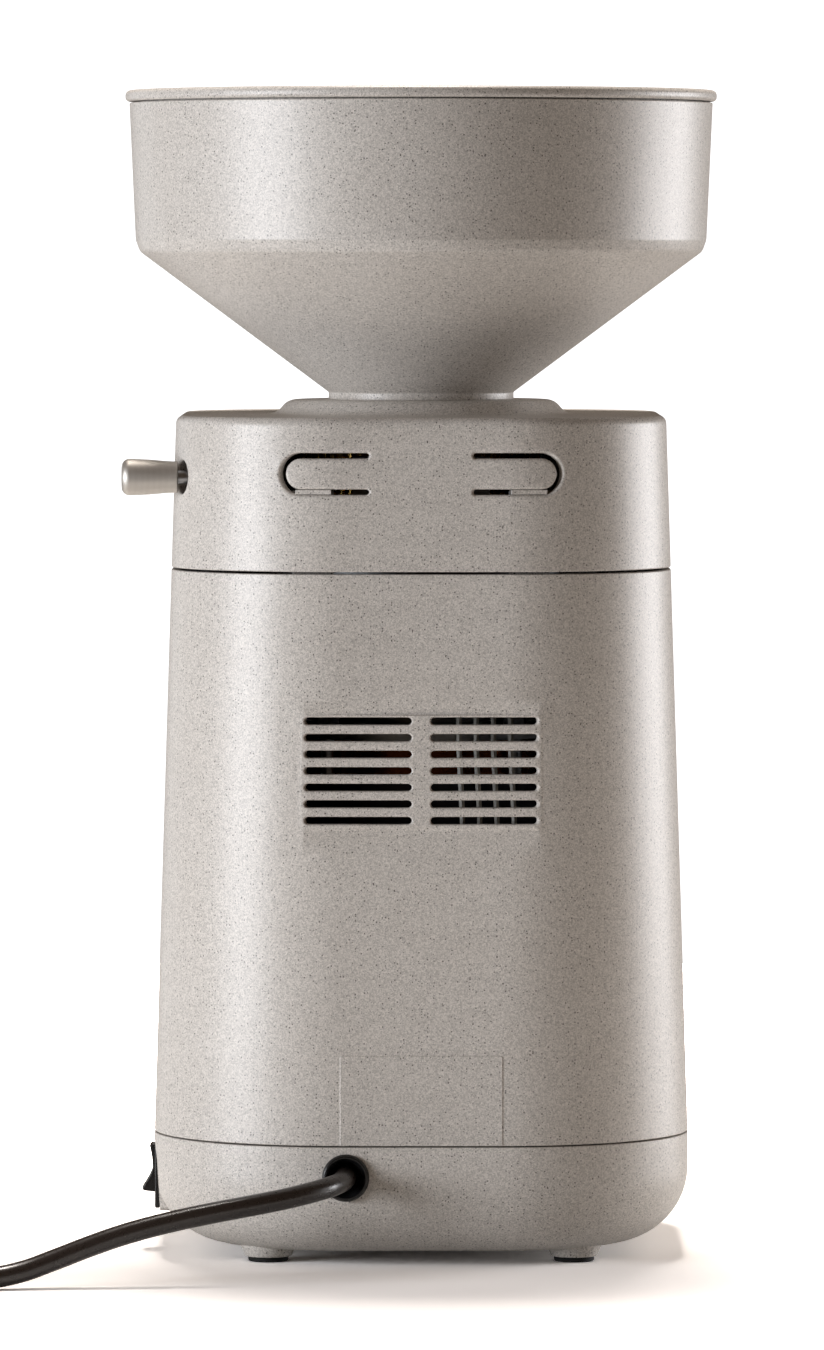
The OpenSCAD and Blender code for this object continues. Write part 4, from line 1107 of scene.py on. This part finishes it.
# ---------------------------------------------------------------- hopper and lid
LATHE_N = 224
hopper_profile = rounded(
    [
        (27.4, 251.3, 0.2), (27.4, 253.4, 0.6), (83.3, 295.0, 3.0), (84.5, 298.4, 2.5),
        (86.3, 338.9, 0.35), (83.9, 338.9, 0.35),
        (82.1, 298.9, 2.0), (80.8, 296.2, 2.0), (17.2, 251.6, 1.0), (17.2, 229.0, 0.3), (19.4, 229.0, 0.3),
        (19.4, 251.3, 0),
    ],
    0.5, 5,
)
piece("hopper_skin", *revolve(hopper_profile, LATHE_N), "hopper_unit", "speckled_shell", ["hopper"])
lid_profile = rounded(
    [
        (0, 342.55, 0), (0, 339.9, 0), (81.0, 339.9, 0.3), (81.0, 334.0, 0.3), (83.2, 334.0, 0.3),
        (83.2, 339.3, 0.2),
        (87.5, 339.3, 1.2), (87.5, 342.6, 1.5), (84.0, 342.6, 0), (60.0, 342.55, 0),
    ],
    0.3, 6,
)
piece("hopper_lid_skin", *revolve(lid_profile, LATHE_N), "lid", "speckled_shell", ["hopper_lid"])

# ---------------------------------------------------------------- adjuster knob
def along_x(y0, z0):
    return lambda x, y, z: (z, y0 + x, z0 + y)


knob_profile = rounded(
    [
        (0, 87.6, 0), (5.45, 87.6, 2.3), (5.15, 80.0, 0), (4.7, 74.8, 0), (4.55, 71.4, 0.3),
        (4.2, 71.1, 0.2), (3.4, 71.1, 0.2),
        (3.4, 73.6, 0), (0, 73.6, 0),
    ],
    0.2, 6,
)
piece("adjuster_knob_skin", *revolve(knob_profile, 64, along_x(WORM_Y, WORM_Z)), "adjuster", "knob_metal",
    ["adjuster_knob"])

# ---------------------------------------------------------------- cord gland
BACK_Y = CORNER_X + BASE_R


def along_y(x0, z0, y0):
    return lambda x, y, z: (x0 - x, y0 + z, z0 + y)


gland_profile = rounded(
    [
        (3.12, -11, 0.2), (5.5, -11, 0.3), (5.5, 0.02, 0), (6.85, 0.02, 0.1), (6.85, 1.0, 0.5),
        (6.3, 1.9, 0.35), (5.7, 1.9, 0.3),
        (5.0, 0.9, 0.5), (4.5, -1.8, 0.6), (3.12, -5.5, 0.5),
    ],
    0.2, 4,
)
piece("cord_gland_skin", *revolve(gland_profile, 64, along_y(GLAND_X, GLAND_Z, BACK_Y)), "housing",
    "gloss_black", ["cord_gland"])

# ---------------------------------------------------------------- power switch


def facing_side(u, v, h):
    """Outline in y and z, height running out of the +X flank."""
    return (h, u, v)


def rect(cu, cv, hu, hv, r, n=5):
    return [(a, b) for a, b, _, _ in shifted(rounded_rect(hu, hv, r, n), cu, cv)]


opening = rect(SWITCH_Y, SWITCH_Z, 5.0, 8.25, 0.5, 3)
bezel = prism(rect(SWITCH_Y, SWITCH_Z, 7.5, 10.55, 1.3), SWITCH_FACE_X + 0.01, 78.7, facing_side, 0.45,
    [opening])
case = prism(rect(SWITCH_Y, SWITCH_Z, 6.5, 8.8, 0.6), 66.5, SWITCH_FACE_X + 0.1, facing_side, 0.2,
    [opening])
case_back = prism(rect(SWITCH_Y, SWITCH_Z, 6.5, 8.8, 0.6), 60.0, 66.6, facing_side, 0.3)
tags = [block(52, 61, SWITCH_Y - 2.4, SWITCH_Y + 2.4, SWITCH_Z + z - 0.4, SWITCH_Z + z + 0.4, 0.15)
    for z in (-5, 0, 5)]
piece("switch_body_skin", *combine(bezel, case, case_back, *tags), "housing", "gloss_black",
    ["switch_body"])
ROCKER_TILT = math.radians(-10)


def on_rocker(u, v, h):
    """Outline in the rocker's own plane turned to its rest tilt, height across it."""
    x = u * math.cos(ROCKER_TILT) + v * math.sin(ROCKER_TILT)
    z = v * math.cos(ROCKER_TILT) - u * math.sin(ROCKER_TILT)
    return (73.0 + x, SWITCH_Y - h, SWITCH_Z + z)


dished = [(6.6 + 1.9 * abs(q) ** 1.5, 6.3 * q)
    for q in (-1, -0.8, -0.6, -0.4, -0.2, 0, 0.2, 0.4, 0.6, 0.8, 1)]
rocker_outline = rounded(
    [(-3.5, -4, 0.3), (0, -6.2, 0.3), (5.2, -6.9, 0.5), (8.1, -7.0, 0.35)] + [(u, v, 0.0)
        for u, v in dished]
    + [(8.1, 7.0, 0.35), (5.2, 6.9, 0.5), (0, 6.2, 0.3), (-3.5, 4, 0.3)],
    0.3, 3,
)
rocker_pins = revolve(rounded([(0, -6.2, 0), (1.2, -6.2, 0.2), (1.2, 6.2, 0.2), (0, 6.2, 0)], 0.2), 24,
                      lambda x, y, z: (73 + x, SWITCH_Y + z, SWITCH_Z + y))
piece(
    "switch_rocker_skin", *combine(prism(rocker_outline, -4.7, 4.7, on_rocker, 0.35), rocker_pins),
    "rocker", "gloss_black",
    ["switch_rocker"],
)

# ---------------------------------------------------------------- outlet, fork, trigger and tray
def across(u, v, h):
    """Outline in y and z, height along x."""
    return (h, u, v)


CHUTE_OUTER = [(-50.3, 173.5), (-50.3, 192), (-92, 194, 6), (-112, 192, 8), (-121, 186, 5), (-124, 178, 5),
    (-122, 148), (-100, 148), (-99, 166, 4), (-90, 171, 5)]
chute_top = [(-50.3, 189.4), (-50.3, 192), (-92, 194, 6), (-112, 192, 8), (-121, 186, 5), (-124, 178, 5),
    (-122, 148), (-119.5, 148), (-121.4, 178, 4), (-119, 184.5, 4), (-111, 189.5, 6), (-92, 191.4, 5)]
chute_floor = [(-50.3, 173.5), (-50.3, 176), (-90, 173.8, 4), (-101.5, 168.5, 5), (-102.5, 148),
    (-100, 148), (-99, 166, 4), (-90, 171, 5)]
piece(
    "outlet_chute_skin",
    *combine(
        prism(rounded(list(reversed(chute_top)), 0.4, 5), -15.0, 15.0, across, 0.1),
        prism(rounded(list(reversed(chute_floor)), 0.4, 5), -15.0, 15.0, across, 0.1),
        prism(rounded(list(reversed(CHUTE_OUTER)), 0.6, 5), 14.5, 17.0, across, 1.0),
        prism(rounded(list(reversed(CHUTE_OUTER)), 0.6, 5), -17.0, -14.5, across, 1.0),
    ),
    "housing", "black_plastic", ["outlet_chute"],
)
FORK_Z = 117.0
fork_outline = (
    [(40, -95), (-40, -95), (-40, -110)] + arc(-35, -138, 5, 180, 360, 12) + arc(0, -136, 30, 180, 0, 30)
    + arc(35, -138, 5, 180, 360, 12) + [(40, -110)]
)
piece(
    "portafilter_fork_skin",
    *combine(
        prism(fork_outline, FORK_Z - 3, FORK_Z, upright, 0.7),
        prism(rounded([(-22, 114), (22, 114), (22, 135), (-22, 135)], 2.5), 95.02, 98.0, facing_front, 0.6,
              [circle(1.8, -16, 127, 20), circle(1.8, 16, 127, 20), circle(5.4, 0, 127)]),
    ),
    "housing", "steel", ["portafilter_fork"],
)


def along_front(x, y, z):
    return (x, -z, 127.0 + y)


trigger_profile = rounded([(0, 86, 0), (5, 86, 0.3), (5, 87, 0), (7, 87, 0.3), (7, 89.5, 0.3),
    (5, 89.5, 0), (5, 104, 1.4), (0, 104, 0)], 0.3, 5)
piece("trigger_button_skin", *revolve(trigger_profile, 48, along_front), "trigger", "black_plastic",
    ["trigger_button"])


def tray_outline(inset):
    back = [(46 - inset, -100 - inset), (-46 + inset, -100 - inset)]
    return back + arc(-30, -133, 16 - inset, 180, 270, 10) + arc(30, -133, 16 - inset, 270, 360, 10)


piece(
    "catch_tray_skin",
    *combine(
        prism(tray_outline(0), 10.8, 21.8, upright, 0.7, [tray_outline(2)]),
        prism(tray_outline(1.0), 11.0, 12.8, upright, 0.2),
    ),
    "tray", "black_plastic", ["catch_tray"],
)

# ---------------------------------------------------------------- mains lead
lead = [
    (21.9, 70, 27.4), (21.9, 77.5, 27.4), (22.5, 84.5, 27.2), (25, 92, 26.6), (30.3, 99, 25.6),
    (38, 104.7, 24.2), (48, 109, 22.6),
    (60, 112, 20.6), (72, 114, 18.2), (84, 116, 15.2), (95, 118, 11.6), (105, 120, 7.9), (114, 122.3, 4.9),
    (122, 124.7, 3.5),
    (130, 127.7, 3.1), (138, 131.5, 3.1), (146, 136.3, 3.08), (155, 142.0, 3.08), (166, 146.9, 3.08),
]
COIL_X, COIL_Y, COIL_OUT, COIL_IN, COIL_LOW, COIL_HIGH = 178.0, 112.0, 36.58, 30.42, 3.08, 9.24
COIL_STEP_DEG = 15.0
# Degrees gone round, radius and height of the lead's axis, eased from one to the next
turns = [
    (0, COIL_OUT, COIL_LOW), (330, COIL_OUT, COIL_LOW), (390, COIL_IN, COIL_LOW), (690, COIL_IN, COIL_LOW),
    (750, COIL_IN, COIL_HIGH), (1050, COIL_IN, COIL_HIGH), (1110, COIL_OUT, COIL_HIGH),
    (1470, COIL_OUT, COIL_HIGH),
]
for k in range(round(turns[-1][0] / COIL_STEP_DEG) + 1):
    gone = COIL_STEP_DEG * k
    for (a, ra, za), (b, rb, zb) in zip(turns[:-1], turns[1:]):
        if a <= gone <= b:
            t = ease((gone - a) / (b - a))
            angle = math.radians(90 - gone)
            r = ra + (rb - ra) * t
            lead.append((COIL_X + r * math.cos(angle), COIL_Y + r * math.sin(angle), za + (zb - za) * t))
            break
lead += [(205.2, 138.4, 9.24), (212.8, 131.0, 9.2), (218.4, 121.8, 9.1), (221.8, 111.5, 9.0),
    (223, 101.5, 9.0), (223, 90.0, 9.0)]
lead_curve = bpy.data.curves.new("mains_lead", "CURVE")
lead_curve.dimensions = "3D"
lead_curve.resolution_u = 5
lead_curve.bevel_depth = CORD_R * MM
lead_curve.bevel_resolution = 5
lead_curve.use_fill_caps = True
spline = lead_curve.splines.new("BEZIER")
spline.bezier_points.add(len(lead) - 1)
for point, place in zip(spline.bezier_points, lead):
    point.co = [c * MM for c in place]
    point.handle_left_type = point.handle_right_type = "AUTO"
lead_curve.materials.append(FINISH["cord_pvc"])
lead_object = bpy.data.objects.new("mains_lead", lead_curve)
bpy.context.collection.objects.link(lead_object)
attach(lead_object, "housing")
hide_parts("power_cord", "cord_coil")

PLUG_X, PLUG_Y, PLUG_Z = 223.0, 57.0, 9.0


def along_plug(x, y, z):
    """Height runs from the pins to the cord end."""
    return (PLUG_X - x, PLUG_Y + z, PLUG_Z + y)


plug_profile = rounded(
    [(0, 36, 0), (3.4, 36, 0.5), (4.5, 16, 2), (7.6, 12, 3), (8.8, -2, 2), (8.8, -12, 0.5),
        (8.2, -12.6, 0.4), (0, -12.6, 0)], 0.3, 5
)


# ---------------------------------------------------------------- geometry nodes for what repeats
def group_input(tree, name, kind):
    return tree.interface.new_socket(name=name, in_out="INPUT", socket_type=kind).identifier


def start_tree(name, extra=()):
    """A node group with its geometry, part, finish and any extra inputs, and the identifiers of those inputs."""
    tree = bpy.data.node_groups.new(name, "GeometryNodeTree")
    group_input(tree, "Geometry", "NodeSocketGeometry")
    kinds = [("Part", "NodeSocketObject"), *extra, ("Finish", "NodeSocketMaterial")]
    keys = {label: group_input(tree, label, kind) for label, kind in kinds}
    tree.interface.new_socket(name="Geometry", in_out="OUTPUT", socket_type="NodeSocketGeometry")
    return tree, keys, add_node(tree, "NodeGroupInput").outputs


def end_tree(tree, given, points, turn):
    """Puts the part on the points, turned, makes the copies real and gives them their finish."""
    part = add_node(
        tree, "GeometryNodeObjectInfo", {"transform_space": "RELATIVE"}, {}, {"Object": given["Part"]}
    )
    spread = add_node(
        tree, "GeometryNodeInstanceOnPoints", {}, {},
        {"Points": points, "Instance": part.outputs["Geometry"], "Rotation": turn},
    )
    real = add_node(tree, "GeometryNodeRealizeInstances", {}, {}, {"Geometry": spread.outputs["Instances"]})
    done = add_node(
        tree, "GeometryNodeSetMaterial", {}, {},
        {"Geometry": real.outputs["Geometry"], "Material": given["Finish"]},
    )
    add_node(tree, "NodeGroupOutput", links={"Geometry": done.outputs["Geometry"]})


def copies_tree():
    """Copies of a part on every point, turned by the point's own angles."""
    tree, keys, given = start_tree("copies_on_points")
    turn = add_node(tree, "GeometryNodeInputNamedAttribute", {"data_type": "FLOAT_VECTOR"},
        {"Name": "turn"})
    end_tree(tree, given, given["Geometry"], turn.outputs["Attribute"])
    return tree, keys


def ring_tree():
    """A count of copies of a part, spaced evenly round the Z axis."""
    tree, keys, given = start_tree("copies_in_a_ring", [("Count", "NodeSocketInt")])
    line = add_node(tree, "GeometryNodeMeshLine", {}, {"Offset": (0.0, 0.0, 0.0)},
        {"Count": given["Count"]})
    index = add_node(tree, "GeometryNodeInputIndex")
    share = add_node(
        tree, "ShaderNodeMath", {"operation": "DIVIDE"}, {}, {0: index.outputs["Index"], 1: given["Count"]}
    )
    angle = add_node(
        tree, "ShaderNodeMath", {"operation": "MULTIPLY"}, {1: 2 * math.pi}, {0: share.outputs["Value"]}
    )
    turn = add_node(tree, "ShaderNodeCombineXYZ", links={"Z": angle.outputs["Value"]})
    end_tree(tree, given, line.outputs["Mesh"], turn.outputs["Vector"])
    return tree, keys


COPIES, RING = copies_tree(), ring_tree()


def grown(tree_and_keys, values, carrier_points=((0, 0, 0),), turns_at=None):
    """The plain mesh that a tree makes on a carrier of points, as millimetre points and faces."""
    tree, keys = tree_and_keys
    mesh = bpy.data.meshes.new("carrier")
    mesh.from_pydata([[c * MM for c in p] for p in carrier_points], [], [])
    attribute = mesh.attributes.new("turn", "FLOAT_VECTOR", "POINT")
    for item, angles in zip(attribute.data, turns_at or [(0, 0, 0)] * len(carrier_points)):
        item.vector = [math.radians(a) for a in angles]
    carrier = bpy.data.objects.new("carrier", mesh)
    bpy.context.collection.objects.link(carrier)
    modifier = carrier.modifiers.new("grow", "NODES")
    modifier.node_group = tree
    for name, value in values.items():
        modifier[keys[name]] = value
    bpy.context.view_layer.update()
    made = bpy.data.meshes.new_from_object(carrier.evaluated_get(bpy.context.evaluated_depsgraph_get()))
    points = [(v.co.x / MM, v.co.y / MM, v.co.z / MM) for v in made.vertices]
    faces = [tuple(p.vertices) for p in made.polygons]
    bpy.data.objects.remove(carrier)
    bpy.data.objects.remove(values["Part"])
    return points, faces


def loose_part(points, faces):
    """A part for a tree to copy."""
    mesh = bpy.data.meshes.new("part")
    mesh.from_pydata([[c * MM for c in p] for p in points], [], faces)
    made = bpy.data.objects.new("part", mesh)
    bpy.context.collection.objects.link(made)
    made.hide_render = True
    return made


def pan_screw(r, length):
    """A pan-head screw pointing down with a cross recess and its seat at the origin."""
    head, deep, bar = 1.95 * r, 0.65 * r, 0.26 * r
    reach = 1.15 * r
    cross = [(bar, bar), (bar, reach), (-bar, reach), (-bar, bar), (-reach, bar), (-reach, -bar),
        (-bar, -bar), (-bar, -reach), (bar, -reach), (bar, -bar), (reach, -bar), (reach, bar)]
    top = prism(circle(head, count=36), deep - 0.05, 1.2 * r, upright, 0.35 * r, [list(reversed(cross))])
    under = revolve(rounded([(0, 0, 0), (head, 0, 0.1), (head, deep + 0.3 * r, 0.1), (0.9 * head, deep, 0),
        (0, deep, 0)], 0.1), 36)
    shank = [(0, -length, 0), (0.35 * r, -length, 0)]
    step = 0.35 * r
    h = -length + r
    while h < -step:
        shank += [(0.82 * r, h, 0), (r, h + step / 2, 0)]
        h += step
    shank += [(0.82 * r, 0.05, 0), (0, 0.05, 0)]
    return combine(top, under, revolve([(p[0], p[1]) for p in shank], 20))


def screws(name, node, body, r, length, places, angles, slot="steel"):
    part = loose_part(*pan_screw(r, length))
    made = grown(COPIES, {"Part": part, "Finish": FINISH[slot]}, places, angles)
    piece(name, *made, body, slot, [node])


screws("base_screws_set", "base_screws", "housing", 1.6, 32, [(x, y, 13.0) for x, y in SCREW_AT],
    [(180, 0, 20 * k) for k in range(4)])
screws("fork_screws_set", "fork_screws", "housing", 1.6, 11, [(x, -98.0, 127.0) for x in (-16, 16)],
    [(90, 0, 0), (90, 35, 0)])
screws(
    "plate_screws_set", "plate_screws", "housing", 1.6, 12,
    [(x, y, 171.0) for x in (-64, 64) for y in (-27, 27)],
    [(0, 0, 25 * k) for k in range(4)],
)
pad = revolve(rounded([(0, 0, 0), (5.9, 0, 0.5), (5.9, 2.3, 0.3), (2.45, 2.3, 0), (2.45, 9, 0.6),
    (0, 9, 0)], 0.3, 4), 48)
pads_made = grown(COPIES, {"Part": loose_part(*pad), "Finish": FINISH["rubber_black"]},
    [(x, y, 0) for x, y in FEET_AT])
piece("foot_pads_set", *pads_made, "housing", "rubber_black", ["foot_pads"])

TEETH = 60
sleeve = revolve(
    rounded([(20, 196.6, 0.4), (31, 196.6, 0.4), (31, 222, 0), (33.7, 222, 0.2), (33.7, 236.2, 0.4),
        (20, 236.2, 0.8)], 0.3), 180
)
tooth = prism(
    [(0.81, 33.5), (0.66, 35.2), (0.5, 35.3), (-0.5, 35.3), (-0.66, 35.2), (-0.81, 33.5)], 222.0, 236.2,
    upright, 0.12
)
teeth = grown(RING, {"Part": loose_part(*tooth), "Count": TEETH, "Finish": FINISH["brass"]})
piece("adjusting_ring_skin", *combine(sleeve, teeth), "burr_ring", "brass", ["adjusting_ring"])

grip = revolve(rounded([(7.0, -0.55, 0), (9.0, -0.55, 0.5), (9.0, 0.55, 0.5), (7.0, 0.55, 0)], 0.4), 48,
    lambda x, y, z: (x, z, y))
ribs = grown(
    COPIES, {"Part": loose_part(*grip), "Finish": FINISH["cord_pvc"]},
    [(PLUG_X, PLUG_Y - 1.5 - 2.2 * k, PLUG_Z) for k in range(4)]
)
plug = piece("plug_body_skin", *combine(revolve(plug_profile, 56, along_plug), ribs), "housing",
    "cord_pvc", ["plug_body"])
pin = revolve(rounded([(0, -30.6, 0), (2, -30.6, 0.9), (2, -12, 0), (0, -12, 0)], 0.4, 5), 28,
    lambda x, y, z: (x, z, y))
pins_made = grown(
    COPIES, {"Part": loose_part(*pin), "Finish": FINISH["brass_plated"]},
    [(PLUG_X + x, PLUG_Y, PLUG_Z) for x in (-5, 5)]
)
pins = piece("plug_pins_set", *pins_made, "housing", "brass_plated", ["plug_pins"])
tie_legs = [(-7.45, 0, 0.3), (-6.45, 0, 0.3), (-6.45, 12.25, 0.8), (6.45, 12.25, 0.8), (6.45, 0, 0.3),
    (7.45, 0, 0.3), (7.45, 13.3, 1.6), (-7.45, 13.3, 1.6)]
tie = piece(
    "coil_tie_strap",
    *prism(rounded(tie_legs, 0.3), COIL_X - 4, COIL_X + 4, lambda u, v, h: (h, COIL_Y - 33.5 + u, v), 0.3),
    "housing", "black_plastic", ["coil_tie"],
)

# ---------------------------------------------------------------- finishes of the shown frame nodes
for entry in frame["record"]["subparts"]:
    mesh = nodes[entry["node"]].data
    mesh.materials.clear()
    mesh.materials.append(FINISH[entry["material_slot"]])

# ---------------------------------------------------------------- studio
def studio_floor_finish():
    """White sweep paper: it looks bright, and it sends back up the light of a pale grey table. As the camera
    sees it, the floor carries painted shade: it is brightened less near the product, so it stays darker round
    the footprint, and clips to white further out.
    """
    material, tree, coords, shader = new_material("studio_floor_white_painted_shade")
    reach = add_node(tree, "ShaderNodeVectorMath", {"operation": "LENGTH"}, {},
        {0: coords}).outputs["Value"]
    near = add_node(
        tree, "ShaderNodeMapRange", {}, {"From Min": 0.28, "From Max": 0.5, "To Min": 0.0, "To Max": 1.0},
        {"Value": reach}
    )
    tone = add_node(
        tree, "ShaderNodeMix", {"data_type": "RGBA"}, {6: srgb("efedea"), 7: srgb("9a9998")},
        {0: near.outputs["Result"]}
    ).outputs[2]
    tree.links.new(tone, shader.inputs["Base Color"])
    shader.inputs["Roughness"].default_value = 0.35
    # Painted shade: the camera-seen floor colour is scaled by a gain from 1.7 within 0.2 m of the middle up to 9
    # beyond 0.6 m, so the floor round the product stays darker and the far floor clips to white.
    lift = add_node(
        tree, "ShaderNodeMapRange", {}, {"From Min": 0.2, "From Max": 0.6, "To Min": 1.7, "To Max": 9.0},
        {"Value": reach}
    )
    warm = add_node(tree, "ShaderNodeVectorMath", {"operation": "SCALE"}, {0: (1.0, 0.98, 0.97)},
        {"Scale": lift.outputs["Result"]})
    seen = add_node(tree, "ShaderNodeBsdfDiffuse", links={"Color": warm.outputs["Vector"]})
    sheen = add_node(tree, "ShaderNodeBsdfGlossy", {},
        {"Color": (0.05, 0.05, 0.05, 1.0), "Roughness": 0.12})
    both = add_node(tree, "ShaderNodeAddShader", links={0: seen.outputs["BSDF"], 1: sheen.outputs["BSDF"]})
    path = add_node(tree, "ShaderNodeLightPath")
    mix = add_node(
        tree, "ShaderNodeMixShader",
        links={0: path.outputs["Is Camera Ray"], 1: shader.outputs["BSDF"], 2: both.outputs["Shader"]}
    )
    tree.links.new(mix.outputs["Shader"], tree.nodes["Material Output"].inputs["Surface"])
    return material


FLOOR_R_M = 1.1
floor_mesh = bpy.data.meshes.new("studio_floor")
floor_edge = [(FLOOR_R_M * math.cos(a * math.pi / 32), FLOOR_R_M * math.sin(a * math.pi / 32), 0)
    for a in range(64)]
floor_mesh.from_pydata(floor_edge, [], [tuple(range(64))])
floor_mesh.materials.append(studio_floor_finish())
floor = bpy.data.objects.new("studio_floor", floor_mesh)
bpy.context.collection.objects.link(floor)


LIGHT_AIM = Vector((0.0, 0.0, 0.2))
LIGHT_REACH_M = 1.4


def softbox(name, azimuth, elevation, watts, colour, width=0.6, height=1.0):
    """An area light on a sphere round the product: azimuth 0 is +Y, and positive turns to +X."""
    light = bpy.data.lights.new(name, "AREA")
    light.shape = "RECTANGLE"
    light.size, light.size_y = width, height
    light.energy = watts
    light.color = colour
    made = bpy.data.objects.new(name, light)
    bpy.context.collection.objects.link(made)
    a, e = math.radians(azimuth), math.radians(elevation)
    out = Vector((math.cos(e) * math.sin(a), math.cos(e) * math.cos(a), math.sin(e)))
    made.location = LIGHT_AIM + LIGHT_REACH_M * out
    made.rotation_euler = (-out).to_track_quat("-Z", "Y").to_euler()
    made.visible_camera = False


softbox("key_left", 62, 2, 18.0, (0.92, 0.95, 1.0), 0.7, 0.5)
softbox("side_right", -112, 2, 14.0, (0.98, 0.98, 1.0), 0.9, 0.5)
softbox("rim_left", 140, 2, 1.5, (0.95, 0.98, 1.0))
softbox("overhead", 180, 77, 24.0, (1.0, 0.93, 0.87), 0.4, 0.4)

world = bpy.data.worlds.new("studio")
bpy.context.scene.world = world
world.use_nodes = True
sky = world.node_tree
sky.nodes.clear()
path = add_node(sky, "ShaderNodeLightPath")
fill = add_node(sky, "ShaderNodeBackground", {}, {"Color": srgb("ffd8b0"), "Strength": 0.09})
white = add_node(sky, "ShaderNodeBackground", {}, {"Color": (1.0, 1.0, 1.0, 1.0), "Strength": 1.3})
mix = add_node(
    sky, "ShaderNodeMixShader", {}, {},
    {0: path.outputs["Is Camera Ray"], 1: fill.outputs["Background"], 2: white.outputs["Background"]}
)
add_node(sky, "ShaderNodeOutputWorld", links={"Surface": mix.outputs["Shader"]})
bpy.context.scene.view_settings.view_transform = "Standard"
